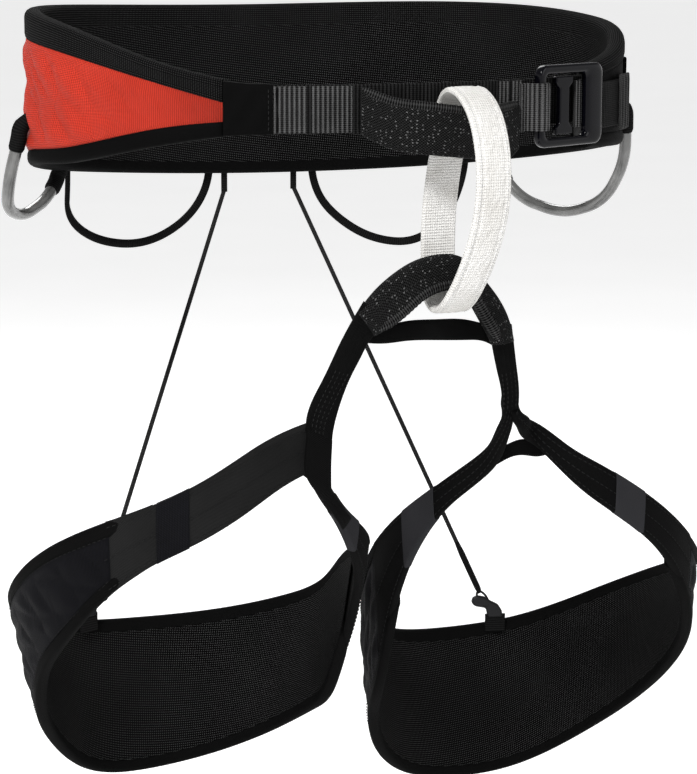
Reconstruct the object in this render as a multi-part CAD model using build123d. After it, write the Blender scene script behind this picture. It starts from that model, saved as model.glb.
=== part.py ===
"""Climbing harness: waist belt, belay loop, bridge and two leg loops, as separate pieces.

Units are millimetres. The origin is the centre of the waist ring. +X points to the
wearer's left, -Y to the wearer's front (the tie-in side) and +Z up.
"""
import os
from math import cos, radians, sin

import numpy as np
from build123d import *

# ---------------------------------------------------------------- driving dimensions
WAIST_HALF_WIDTH = 151.0    # outer ellipse of the belt, along X
WAIST_HALF_DEPTH = 112.0    # outer ellipse of the belt, along Y
WEBBING_WIDTH = 22.0        # load-bearing webbing at the front
WEBBING_THICKNESS = 2.4
BELT_THICKNESS = 8.0        # padded part: panel, foam and liner
BELT_PANEL = 1.0            # outer fabric
BELT_LINER = 1.0            # inner mesh
LEG_THICKNESS = 5.4
LEG_PANEL = 0.9
LEG_LINER = 0.9
LEG_CENTRE_Y = -31.0        # both leg loops hang round vertical axes at this depth
LAYER_GAP = 0.1             # between sewn layers
SEW_GAP = 0.3               # between neighbouring pieces
BINDING_DEPTH = 6.0         # how far an edge binding reaches over the pad
BELAY_WIDTH = 17.0
BELAY_THICKNESS = 2.6
SLEEVE_THICKNESS = 5.0      # folded tie-in sleeve at the waist
BRIDGE_THICKNESS = 9.0      # folded sleeve of the leg-loop bridge
RISER_THICKNESS = 3.4
GEAR_TUBE_RADIUS = 3.0
GEAR_TUBE_BORE = 1.7
GEAR_CORE_RADIUS = 1.3
REAR_CORD_RADIUS = 1.9
ELASTIC_RADIUS = 1.15
BUCKLE_SIZE = 38.0          # height of the buckle frame
BUCKLE_BAR = 4.2            # width of its bars
BUCKLE_LIP = 8.0            # how much wider the bar on the anchored side is
BUCKLE_THICKNESS = 4.6
BUCKLE_CHAMFER = 0.7
BUCKLE_ANGLE = 28.0         # where its middle sits round the belt
BUCKLE_YAW = 21.5           # direction it faces, the belt's own there
BUCKLE_STANDOFF = 4.4       # its mid plane outside the belt's ellipse
BUCKLE_HEIGHT = -1.8
SLIDER_THICKNESS = 3.0
FOLD_THICKNESS = 1.6        # webbing that anchors the buckle
KEEPER_THICKNESS = 1.2
HOOK_THICKNESS = 3.0
END_SLEEVE_LENGTH = 27.0    # crimped sleeve on the lower end of an elastic riser
END_SLEEVE_RADIUS = 1.7
SEGMENTS = {"belt": 44, "leg": 34, "strap": 12, "webbing": 24, "sleeve": 16, "bridge": 20}

# Angle round the belt from the front centre (+ towards +X): upper and lower edge.
RIGHT_TIP = -36.6           # tip of the padded part at the wearer's right front
LEFT_TIP = -322.0           # tip at the left front, counted round the back (38 degrees)
BELT_EDGES = [
    (RIGHT_TIP, 13.0, -12.0),
    (-48.0, 19.0, -16.0),
    (-62.0, 28.0, -22.0),
    (-75.0, 35.0, -27.0),
    (-92.0, 40.0, -30.0),
    (-115.0, 42.0, -36.5),
    (-140.0, 41.0, -43.0),
    (-180.0, 39.0, -49.5),
    (-220.0, 40.0, -47.0),
    (-245.0, 38.5, -41.0),
    (-268.0, 34.5, -34.0),
    (-285.0, 30.0, -29.0),
    (-300.0, 23.0, -26.5),
    (LEFT_TIP, 15.0, -24.0),
]

PANEL_ROWS = {              # outer fabrics, by first and last of the belt's segments
    "waist_outer_panel_right": (0, 17),
    "waist_lumbar_panel": (17, 26),
    "waist_outer_panel_left": (26, 39),
    "buckle_side_plate": (39, 43),
}

# Leg loops: angle from the front (+ outwards), radius at the upper edge, radius at the
# lower edge, height of the upper edge, height of the lower edge.
LEG = {
    "left": {                       # wearer's left, +X
        "side": 1,
        "centre_x": 94.0,
        "pad": [
            (44, 87, 86, -218, -251),
            (66, 88, 84, -235, -283),
            (92, 88, 80, -250, -316),
            (124, 87, 79, -272, -350),
            (155, 86, 80, -291, -374),
            (182, 86, 81, -295, -378),
            (205, 85, 81, -290, -369),
            (228, 84, 80, -275, -346),
            (248, 83, 79, -249, -318),
            (266, 83, 79, -223, -289),
        ],
        "outer_strap": [
            (-27, 86, 86, -151, -171),
            (-8, 87, 86, -168, -186),
            (14, 87, 86, -188, -209),
            (30, 87, 86, -204, -229),
            (43, 87, 86, -217, -249),
        ],
        "inner_strap": [
            (267, 83, 79, -222, -284),
            (277, 83, 80, -210, -252),
            (290, 84, 82, -196, -221),
            (306, 86, 85, -179, -198),
            (320, 88, 87, -164, -182),
            (327, 90, 89, -153, -174),
        ],
        "riser": [
            (36.2, -124.5, -107.5, 25.0, -124.5, -109.0),
            (39.0, -122.5, -120.0, 29.5, -122.5, -122.0),
            (42.5, -119.5, -134.0, 33.5, -119.5, -136.0),
            (47.0, -116.5, -147.0, 38.0, -116.5, -150.0),
        ],
        "gusset": [
            (44.6, -99.0, -163.5, 45.5, -99.5, -171.6),
            (52.0, -103.8, -157.5, 53.0, -104.0, -167.3),
            (63.5, -109.5, -165.0, 64.5, -109.5, -172.4),
        ],
        "hook_angle": 163.0,
        "elastic_top": (26.0, 108.0, -58.0),
    },
    "right": {                      # wearer's right, -X
        "side": -1,
        "centre_x": 87.5,
        "pad": [
            (46, 87, 85, -182, -216),
            (66, 88, 82, -196, -243),
            (86, 88, 78, -214, -267),
            (106, 88, 75, -233, -293),
            (126, 88, 74, -249, -315),
            (152, 87, 74, -264, -340),
            (182, 87, 76, -270, -348),
            (210, 87, 77, -267, -341),
            (236, 86, 77, -256, -325),
            (256, 86, 77, -241, -309),
            (267, 86, 77, -227, -297),
        ],
        "outer_strap": [
            (-14, 87, 86, -141, -167),
            (2, 87, 86, -150, -177),
            (20, 87, 86, -165, -192),
            (33, 87, 86, -174, -202),
            (45, 87, 85, -181, -215),
        ],
        "inner_strap": [
            (268, 86, 77, -226, -290),
            (282, 86, 79, -216, -262),
            (298, 86, 82, -206, -233),
            (316, 87, 85, -193, -209),
            (328, 87, 86, -180, -194),
            (336, 87, 86, -166, -183),
            (340, 88, 87, -156, -173),
        ],
        "riser": [
            (-43.5, -124.5, -90.5, -35.5, -124.5, -101.0),
            (-50.5, -122.5, -104.0, -40.5, -122.5, -110.5),
            (-57.0, -120.0, -119.0, -45.5, -120.0, -122.0),
            (-64.5, -116.5, -137.5, -52.5, -116.5, -143.5),
        ],
        "gusset": [
            (-74.0, -112.5, -158.0, -73.0, -112.5, -166.0),
            (-62.0, -112.0, -156.0, -58.0, -112.0, -173.0),
            (-51.0, -109.0, -156.0, -49.0, -109.0, -180.0),
        ],
        "hook_angle": 159.0,
        "elastic_top": (-13.5, 108.5, -58.0),
    },
}

# Belay loop: centre line of the band from the top, down the front and up the back.
BELAY_LOOP = [
    (8.5, -126.0, 8.4),
    (9.8, -139.0, 3.6),
    (10.6, -148.5, -10.0),
    (10.6, -152.5, -29.0),
    (8.8, -151.6, -50.0),
    (5.0, -147.0, -69.0),
    (1.6, -139.5, -83.5),
    (0.8, -130.0, -89.6),
    (1.8, -118.0, -85.2),
    (4.2, -110.4, -70.0),
    (6.0, -107.6, -50.0),
    (7.4, -108.6, -32.0),
    (8.0, -112.0, -19.0),
    (8.3, -115.3, -7.0),
    (8.4, -117.6, 2.5),
]

# Tie-in sleeve at the waist: x, y of its centre line, upper and lower edge.
TIE_IN_SLEEVE = [
    (-35.0, -112.2, 10.5, -11.5),
    (-22.0, -118.0, 5.0, -18.0),
    (-7.0, -124.6, 2.8, -20.4),
    (9.0, -126.0, 0.6, -22.2),
    (25.0, -121.8, 0.4, -24.8),
    (36.0, -114.6, 1.0, -25.5),
    (43.0, -110.2, 1.5, -22.0),
]

# Bridge sleeve: x and z of the upper edge, x and z of the lower edge.
BRIDGE_Y = -126.0
BRIDGE_SLEEVE = [
    (-43.0, -89.5, -35.2, -100.0),
    (-35.0, -80.3, -28.5, -97.0),
    (-26.0, -73.2, -21.0, -92.2),
    (-15.0, -67.4, -12.0, -85.4),
    (-3.5, -65.0, -3.0, -82.0),
    (7.5, -66.4, 5.5, -81.8),
    (18.0, -75.5, 12.5, -87.6),
    (27.0, -86.4, 18.0, -96.5),
    (33.0, -98.0, 22.5, -104.0),
    (35.2, -106.5, 24.4, -108.0),
]
CROSSBAR = [
    (-30.5, -99.8, -32.5, -105.2),
    (-17.0, -95.6, -17.0, -104.6),
    (-1.0, -95.6, -1.0, -105.2),
    (15.0, -96.8, 15.0, -106.2),
    (22.0, -105.8, 21.5, -108.2),
]
CROSSBAR_Y = -119.4
CROSSBAR_THICKNESS = 2.6

# Gear loops: their routes from the front anchor to the rear anchor.
GEAR_FRONT = {
    "left": [
        (151.0, -26.5, -14.0), (154.5, -21.0, -38.0), (151.5, -6.0, -60.0),
        (142.0, 20.0, -69.0), (131.0, 46.0, -63.0), (124.0, 60.0, -48.5),
    ],
    "right": [
        (-153.6, 16.0, -16.0), (-157.5, 22.0, -37.0), (-156.0, 33.0, -54.0),
        (-144.0, 46.0, -59.5), (-129.0, 58.0, -54.0), (-118.5, 67.5, -44.0),
    ],
}
GEAR_REAR = {
    "left": [
        (113.5, 77.5, -50.5), (109.5, 88.0, -74.0), (95.0, 99.0, -91.0),
        (70.0, 107.0, -88.0), (47.0, 110.0, -72.0), (37.0, 109.0, -55.0),
    ],
    "right": [
        (-111.0, 75.0, -46.5), (-110.0, 82.0, -66.0), (-90.0, 93.0, -80.0),
        (-60.0, 104.0, -84.5), (-34.0, 110.0, -73.5), (-21.0, 111.0, -55.0),
    ],
}

# Hook of an elastic riser: inward and up from the middle of its tab.
HOOK_PROFILE = [
    (-4.0, 4.2), (4.0, 4.2), (6.0, 8.0), (11.5, 9.5), (11.5, 13.5), (5.5, 13.5), (0.0, 9.0),
]
HOOK_LOW = (-8.5, 15.6)     # where the elastic cord's end sleeve meets the hook
HOOK_EDGE = {"left": -291.5, "right": -265.0}      # height of the pad's edge at the tab
PIECES = {}


# ---------------------------------------------------------------- shared helpers
def smooth(rows, count):
    """Rows of numbers along a natural cubic spline through the given rows."""
    rows = np.array(rows, dtype=float)
    steps = np.linalg.norm(np.diff(rows[:, :3], axis=0), axis=1)
    knots = np.concatenate([[0.0], np.cumsum(steps)])
    size = len(rows)
    system = np.eye(size)
    target = np.zeros_like(rows)
    for i in range(1, size - 1):
        system[i, i - 1:i + 2] = [steps[i - 1], 2 * (steps[i - 1] + steps[i]), steps[i]]
        slope_after = (rows[i + 1] - rows[i]) / steps[i]
        slope_before = (rows[i] - rows[i - 1]) / steps[i - 1]
        target[i] = 6 * (slope_after - slope_before)
    bend = np.linalg.solve(system, target)
    out = []
    for place in np.linspace(0.0, knots[-1], count):
        i = min(int(np.searchsorted(knots, place, side="right")) - 1, size - 2)
        u = place - knots[i]
        h = steps[i]
        slope = (rows[i + 1] - rows[i]) / h - h * (2 * bend[i] + bend[i + 1]) / 6
        curve = u * u * bend[i] / 2 + u ** 3 * (bend[i + 1] - bend[i]) / (6 * h)
        out.append(rows[i] + u * slope + curve)
    return np.array(out)


def unit(vector):
    return vector / np.linalg.norm(vector)


def band(edges, back, front, upper_inset=0.0, lower_inset=0.0, centre=(0.0, 0.0, 0.0),
         span=(0, None)):
    """Solid of a strap or pad layer, as straight segments between cross-sections.

    edges holds rows of six numbers, the upper edge point and the lower edge point.
    back and front are offsets along the normal that points away from centre. span is
    the first and last cross-section used, for a piece that is only a stretch of the band.
    """
    edges = np.array(edges, dtype=float)
    middle = (edges[:, :3] + edges[:, 3:]) / 2
    sections = []
    for i, row in enumerate(edges):
        ahead = middle[min(i + 1, len(edges) - 1)]
        behind = middle[max(i - 1, 0)]
        across = unit(row[3:] - row[:3])
        normal = unit(np.cross(unit(ahead - behind), across))
        if np.dot(normal, middle[i] - np.array(centre)) < 0:
            normal = -normal
        upper = row[:3] + across * upper_inset
        lower = row[3:] - across * lower_inset
        corners = [
            upper + normal * back,
            upper + normal * front,
            lower + normal * front,
            lower + normal * back,
        ]
        sections.append(Wire.make_polygon([Vector(*corner) for corner in corners], close=True))
    first, last = span
    last = len(sections) - 1 if last is None else last
    return Solid.make_loft(sections[first:last + 1], True)


def edge_strip(edges, at_upper, depth, back, front, centre=(0.0, 0.0, 0.0)):
    """Solid along one edge of a band, depth wide."""
    edges = np.array(edges, dtype=float)
    width = np.linalg.norm(edges[:, 3:] - edges[:, :3], axis=1)[:, None]
    across = (edges[:, 3:] - edges[:, :3]) / width
    narrow = edges.copy()
    if at_upper:
        narrow[:, 3:] = edges[:, :3] + across * depth
    else:
        narrow[:, :3] = edges[:, 3:] - across * depth
    return band(narrow, back, front, centre=centre)


def belt_edges(start, end, count):
    """Edge rows of the padded belt between two angles."""
    table = smooth([(angle, 0.0, 0.0, top, bottom) for angle, top, bottom in BELT_EDGES], 400)
    rows = []
    for angle in np.linspace(start, end, count):
        top = np.interp(-angle, -table[:, 0], table[:, 3])
        bottom = np.interp(-angle, -table[:, 0], table[:, 4])
        x, y = ring_point(angle)
        rows.append((x, y, top, x, y, bottom))
    return rows


def ring_point(angle):
    """Point of the belt's outer ellipse at an angle from the front centre."""
    turn = radians(angle)
    return WAIST_HALF_WIDTH * sin(turn), -WAIST_HALF_DEPTH * cos(turn)


def ring_strip(start, end, top, bottom, count):
    """Edge rows of a level strip on the belt's outer ellipse."""
    rows = []
    for angle in np.linspace(start, end, count):
        x, y = ring_point(angle)
        rows.append((x, y, top, x, y, bottom))
    return rows


def leg_edges(leg, rows, count):
    """Edge rows of a piece of a leg loop, smoothed through its few table rows."""
    points = []
    for angle, upper_radius, lower_radius, top, bottom in rows:
        turn = radians(angle)
        across = leg["side"] * sin(turn)
        ahead = -cos(turn)
        x0 = leg["side"] * leg["centre_x"]
        points.append((
            x0 + across * upper_radius, LEG_CENTRE_Y + ahead * upper_radius, top,
            x0 + across * lower_radius, LEG_CENTRE_Y + ahead * lower_radius, bottom,
        ))
    return smooth(points, count)


def cord_path(name, points):
    """Straight runs joined by arcs as large as the runs allow; prints the radii."""
    nodes = [Vector(*point) for point in points]
    radii = []
    for before, here, after in zip(nodes, nodes[1:], nodes[2:]):
        turn = (here - before).get_angle(after - here)
        shorter = min((here - before).length, (after - here).length)
        radii.append(0.45 * shorter / np.tan(radians(turn) / 2))
    print(name, "radii", [round(float(radius), 1) for radius in radii])
    return FilletPolyline(*nodes, radius=radii)


def tube(path, radius, bore=0.0):
    """Round tube along a path, hollow where a bore is given."""
    start = Plane(origin=path @ 0, z_dir=path % 0)
    body = sweep(start * Circle(radius), path=path)
    if bore:
        body = body - sweep(start * Circle(bore), path=path)
    return body


# ---------------------------------------------------------------- waist belt
def waist_pad():
    pad = belt_edges(RIGHT_TIP, LEFT_TIP, SEGMENTS["belt"])
    inset = BINDING_DEPTH + SEW_GAP
    liner_front = -BELT_THICKNESS + BELT_LINER
    PIECES["waist_foam_core"] = band(
        pad, liner_front + LAYER_GAP, -BELT_PANEL - LAYER_GAP, inset, inset)
    PIECES["waist_inner_mesh"] = band(pad, -BELT_THICKNESS, liner_front, inset, inset)
    PIECES["waist_top_binding"] = edge_strip(pad, True, BINDING_DEPTH, -BELT_THICKNESS, 0.0)
    PIECES["waist_bottom_binding"] = edge_strip(pad, False, BINDING_DEPTH, -BELT_THICKNESS, 0.0)
    for name, span in PANEL_ROWS.items():
        PIECES[name] = band(pad, -BELT_PANEL, 0.0, inset, inset, span=span)


def waist_front():
    half = WEBBING_WIDTH / 2
    tab = ring_strip(-36.3, -27.9, half + 0.8, -half - 0.8, 6)
    PIECES["front_tab_right"] = band(tab, -WEBBING_THICKNESS - 2.0, 0.4)
    webbing = ring_strip(-27.7, 37.6, half, -half, SEGMENTS["webbing"])
    PIECES["waist_webbing"] = band(webbing, -WEBBING_THICKNESS, 0.0)
    sleeve = [(x, y, top, x, y, bottom) for x, y, top, bottom in TIE_IN_SLEEVE]
    half_sleeve = SLEEVE_THICKNESS / 2
    sleeve = smooth(sleeve, SEGMENTS["sleeve"])
    PIECES["tie_in_sleeve"] = band(sleeve, -half_sleeve, half_sleeve)
    tail = ring_strip(42.0, 72.0, 7.0, 7.0 - WEBBING_WIDTH, SEGMENTS["strap"])
    PIECES["webbing_tail"] = band(tail, 0.3, 0.3 + WEBBING_THICKNESS)
    keeper_front = 0.6 + WEBBING_THICKNESS
    keeper = ring_strip(52.0, 59.0, 9.0, -17.0, 4)
    keeper = band(keeper, keeper_front, keeper_front + KEEPER_THICKNESS)
    for top, bottom in ((9.0, 7.3), (-15.3, -17.0)):
        keeper = keeper + band(ring_strip(52.0, 59.0, top, bottom, 4), 0.3, keeper_front + 0.2)
    PIECES["elastic_keeper"] = keeper


def buckle_place():
    """Plane of the buckle: x along the belt, y up, z away from the wearer."""
    x, y = ring_point(BUCKLE_ANGLE)
    yaw = radians(BUCKLE_YAW)
    out = (sin(yaw), -cos(yaw), 0.0)
    along = (cos(yaw), sin(yaw), 0.0)
    centre = (x + out[0] * BUCKLE_STANDOFF, y + out[1] * BUCKLE_STANDOFF, BUCKLE_HEIGHT)
    return Plane(origin=centre, x_dir=along, z_dir=out)


def buckle():
    place = buckle_place()
    outline = RectangleRounded(BUCKLE_SIZE + BUCKLE_LIP, BUCKLE_SIZE, 5.0)
    window = RectangleRounded(BUCKLE_SIZE - 2 * BUCKLE_BAR, BUCKLE_SIZE - 2 * BUCKLE_BAR, 2.5)
    flat = Pos(BUCKLE_LIP / 2, 0) * outline - window
    frame = extrude(place * flat, amount=BUCKLE_THICKNESS / 2, both=True)
    rim = [edge for edge in frame.edges() if edge.length > 8.0]
    PIECES["buckle_frame"] = chamfer(rim, BUCKLE_CHAMFER)
    end = RectangleRounded(12.0, 5.0, 1.5)
    bar = Rectangle(7.0, 17.0) + Pos(0, 11.0) * end + Pos(0, -11.0) * end
    slider = extrude(Pos(-0.5, 0) * bar, amount=SLIDER_THICKNESS / 2, both=True)
    PIECES["buckle_slider"] = place.location * slider
    under = Pos(BUCKLE_SIZE / 2 + 4.0, 0, -BUCKLE_THICKNESS / 2 - FOLD_THICKNESS)
    fold = under * Rectangle(11.0, WEBBING_WIDTH)
    anchor = extrude(fold, amount=FOLD_THICKNESS / 2, both=True)
    PIECES["buckle_anchor_webbing"] = place.location * anchor


# ---------------------------------------------------------------- belay loop and bridge
def belay_loop():
    closed = BELAY_LOOP + [BELAY_LOOP[0]]
    centre = smooth(closed, 41)
    rows = [(x - BELAY_WIDTH / 2, y, z, x + BELAY_WIDTH / 2, y, z) for x, y, z in centre]
    half = BELAY_THICKNESS / 2
    middle = (5.0, -130.0, -40.0)
    front = band(rows[:21], -half, half, centre=middle)
    rear = band(rows[20:], -half, half, centre=middle)
    PIECES["belay_loop"] = front + rear


def bridge():
    def rows_at(table, y):
        return [(x0, y, z0, x1, y, z1) for x0, z0, x1, z1 in table]

    sleeve = smooth(rows_at(BRIDGE_SLEEVE, BRIDGE_Y), SEGMENTS["bridge"])
    core = 1.3
    half = BRIDGE_THICKNESS / 2
    front = band(sleeve, core, half)
    back = band(sleeve, -half, -core)
    PIECES["bridge_sleeve_front"] = front
    PIECES["bridge_sleeve_back"] = back
    PIECES["bridge_webbing"] = band(sleeve, -core + LAYER_GAP, core - LAYER_GAP, 1.5, 1.5)
    half_bar = CROSSBAR_THICKNESS / 2
    crossbar = smooth(rows_at(CROSSBAR, CROSSBAR_Y), 10)
    PIECES["crossbar_strap"] = band(crossbar, -half_bar, half_bar)


# ---------------------------------------------------------------- leg loops
def leg_loop(name):
    leg = LEG[name]
    centre = (leg["side"] * leg["centre_x"], LEG_CENTRE_Y, -250.0)
    pad = leg_edges(leg, leg["pad"], SEGMENTS["leg"])
    inset = BINDING_DEPTH + SEW_GAP
    liner_front = -LEG_THICKNESS + LEG_LINER
    layers = {
        "leg_panel": (-LEG_PANEL, 0.0),
        "leg_foam": (liner_front + LAYER_GAP, -LEG_PANEL - LAYER_GAP),
        "leg_mesh": (-LEG_THICKNESS, liner_front),
    }
    for layer, (back, front) in layers.items():
        PIECES[f"{layer}_{name}"] = band(pad, back, front, inset, inset, centre)
    PIECES[f"leg_top_binding_{name}"] = edge_strip(
        pad, True, BINDING_DEPTH, -LEG_THICKNESS, 0.0, centre)
    PIECES[f"leg_bottom_binding_{name}"] = edge_strip(
        pad, False, BINDING_DEPTH, -LEG_THICKNESS, 0.0, centre)
    for strap in ("outer_strap", "inner_strap"):
        edges = leg_edges(leg, leg[strap], SEGMENTS["strap"])
        PIECES[f"{strap}_{name}"] = band(edges, -3.4, -0.6, centre=centre)
    patch = leg_edges(leg, leg["outer_strap"], SEGMENTS["strap"])[7:11]
    PIECES[f"join_patch_{name}"] = band(patch, -0.4, 0.4, 1.0, 1.0, centre)
    PIECES[f"gusset_{name}"] = band(smooth(leg["gusset"], 8), -6.4, -5.2, centre=centre)
    half = RISER_THICKNESS / 2
    PIECES[f"leg_riser_{name}"] = band(smooth(leg["riser"], 10), -half, half)


def leg_hook(name):
    """Sewn tab on the rear of the liner, its hook and the elastic cord to the waist."""
    leg = LEG[name]
    side = leg["side"]
    turn = radians(leg["hook_angle"])
    upper = 86.0 - LEG_THICKNESS - 2.8
    x = side * (leg["centre_x"] + sin(turn) * upper)
    y = LEG_CENTRE_Y - cos(turn) * upper
    yaw = side * (180.0 - leg["hook_angle"])
    place = Location((x, y, HOOK_EDGE[name]), (0, 0, -yaw))
    tab = Pos(0, 0, -5.0) * Box(15.0, 1.6, 18.0)
    PIECES[f"hook_tab_{name}"] = place * tab
    profile = [(side * -u, v) for u, v in HOOK_PROFILE]
    face = Plane.XZ * make_face(Polyline(*profile, close=True))
    hook = extrude(face, amount=HOOK_THICKNESS / 2, both=True)
    PIECES[f"riser_hook_{name}"] = place * hook
    top = Vector(*leg["elastic_top"])
    low = (place * Pos(side * HOOK_LOW[0], 0, HOOK_LOW[1])).position
    sleeve_top = low + (top - low).normalized() * END_SLEEVE_LENGTH
    PIECES[f"elastic_riser_{name}"] = tube(Line(sleeve_top, top), ELASTIC_RADIUS)
    PIECES[f"riser_end_sleeve_{name}"] = tube(Line(low, sleeve_top), END_SLEEVE_RADIUS)
    anchor = Pos(top.X, top.Y, top.Z + 4.3) * Box(5.0, 3.0, 6.8)
    PIECES[f"riser_anchor_{name}"] = anchor


# ---------------------------------------------------------------- gear loops
def gear_loops():
    for name in ("left", "right"):
        path = cord_path(f"gear_front_{name}", GEAR_FRONT[name])
        PIECES[f"gear_tube_front_{name}"] = tube(path, GEAR_TUBE_RADIUS, GEAR_TUBE_BORE)
        PIECES[f"gear_core_front_{name}"] = tube(path, GEAR_CORE_RADIUS)
        path = cord_path(f"gear_rear_{name}", GEAR_REAR[name])
        PIECES[f"gear_loop_rear_{name}"] = tube(path, REAR_CORD_RADIUS)


def main():
    waist_pad()
    waist_front()
    buckle()
    belay_loop()
    bridge()
    for name in ("left", "right"):
        leg_loop(name)
        leg_hook(name)
    gear_loops()
    os.makedirs("parts", exist_ok=True)
    for name, piece in PIECES.items():
        export_step(piece, f"parts/{name}.step")


main()
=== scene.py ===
from math import cos, pi, radians, sin

import bmesh
import bpy
import numpy as np
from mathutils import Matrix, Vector


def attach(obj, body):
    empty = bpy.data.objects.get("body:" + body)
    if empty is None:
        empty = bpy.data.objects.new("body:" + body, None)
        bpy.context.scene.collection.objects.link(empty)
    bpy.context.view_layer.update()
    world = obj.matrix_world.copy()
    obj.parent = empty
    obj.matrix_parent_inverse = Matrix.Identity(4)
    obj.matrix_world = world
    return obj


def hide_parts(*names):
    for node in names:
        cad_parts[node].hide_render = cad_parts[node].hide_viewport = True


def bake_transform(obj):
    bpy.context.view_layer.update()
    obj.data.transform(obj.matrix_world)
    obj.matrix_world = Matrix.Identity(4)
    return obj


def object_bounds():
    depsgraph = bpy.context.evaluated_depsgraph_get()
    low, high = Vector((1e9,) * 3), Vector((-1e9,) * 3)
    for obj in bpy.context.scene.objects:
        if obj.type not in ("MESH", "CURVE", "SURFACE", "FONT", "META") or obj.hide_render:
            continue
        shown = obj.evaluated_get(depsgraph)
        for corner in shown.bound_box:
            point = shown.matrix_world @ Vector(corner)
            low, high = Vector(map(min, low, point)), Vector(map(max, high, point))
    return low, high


# Looks of the climbing harness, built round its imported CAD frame. Tables are in millimetres.

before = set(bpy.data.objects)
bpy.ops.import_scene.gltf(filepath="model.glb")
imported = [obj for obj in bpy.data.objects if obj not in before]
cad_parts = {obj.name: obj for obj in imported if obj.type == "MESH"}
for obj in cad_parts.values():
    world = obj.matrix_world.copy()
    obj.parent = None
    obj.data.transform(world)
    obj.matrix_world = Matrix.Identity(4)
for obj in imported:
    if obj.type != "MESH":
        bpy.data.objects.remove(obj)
cad_box = [list(corner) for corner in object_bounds()]
MM = 0.001
SIDES = {"left": 1, "right": -1}       # wearer's left is +X

# ---------------------------------------------------------------- shape tables, millimetres
WAIST_HALF_WIDTH = 151.0
WAIST_HALF_DEPTH = 112.0
BELT_THICKNESS = 8.0
LEG_THICKNESS = 5.4
LEG_CENTRE_Y = -31.0
WEBBING_WIDTH = 22.0
CLOTH_SCALE = 10.0             # the sheets are simulated at ten times their size
CLOTH_STEP = 4.0               # spacing of the simulated points
CLOTH_SLACK = 0.006            # how much larger than its frame a cover was cut
CLOTH_PRESSURE = 1.2
CLOTH_FRAMES = 20
CLOTH_CAP = 3.6                # the furthest that a point may move
COVER_BACK = -1.6              # a cover's layer, out from the edge line
COVER_FRONT = -0.2
LEG_BINDING = 8.0              # how far a leg loop's bindings reach in from its edges
TUCK = 1.5                     # how far a cover runs under a binding
GROOVE_PLACE = 3.0             # of the belay loop's grooves: from its edges, width and depth
GROOVE_WIDTH = 0.55
GROOVE_DEPTH = 0.45

# angle round the belt, upper edge, lower edge, depth of the top roll, depth of the bottom tape
BELT_EDGES = [
    (-36.6, 13.0, -12.0, 12.0, 8.4),
    (-48.0, 19.0, -16.0, 10.8, 9.6),
    (-62.0, 28.0, -22.0, 12.0, 9.4),
    (-75.0, 35.0, -27.0, 13.5, 9.0),
    (-92.0, 40.0, -30.0, 14.6, 8.6),
    (-115.0, 42.0, -36.5, 14.6, 8.8),
    (-140.0, 41.0, -43.0, 14.0, 9.0),
    (-180.0, 39.0, -49.5, 14.0, 9.0),
    (-220.0, 40.0, -47.0, 14.0, 9.0),
    (-245.0, 38.5, -41.0, 14.0, 9.0),
    (-268.0, 34.5, -34.0, 13.5, 9.0),
    (-285.0, 30.0, -29.0, 12.0, 9.0),
    (-300.0, 23.0, -26.5, 10.0, 9.0),
    (-322.0, 15.0, -24.0, 8.0, 8.0),
]

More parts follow.
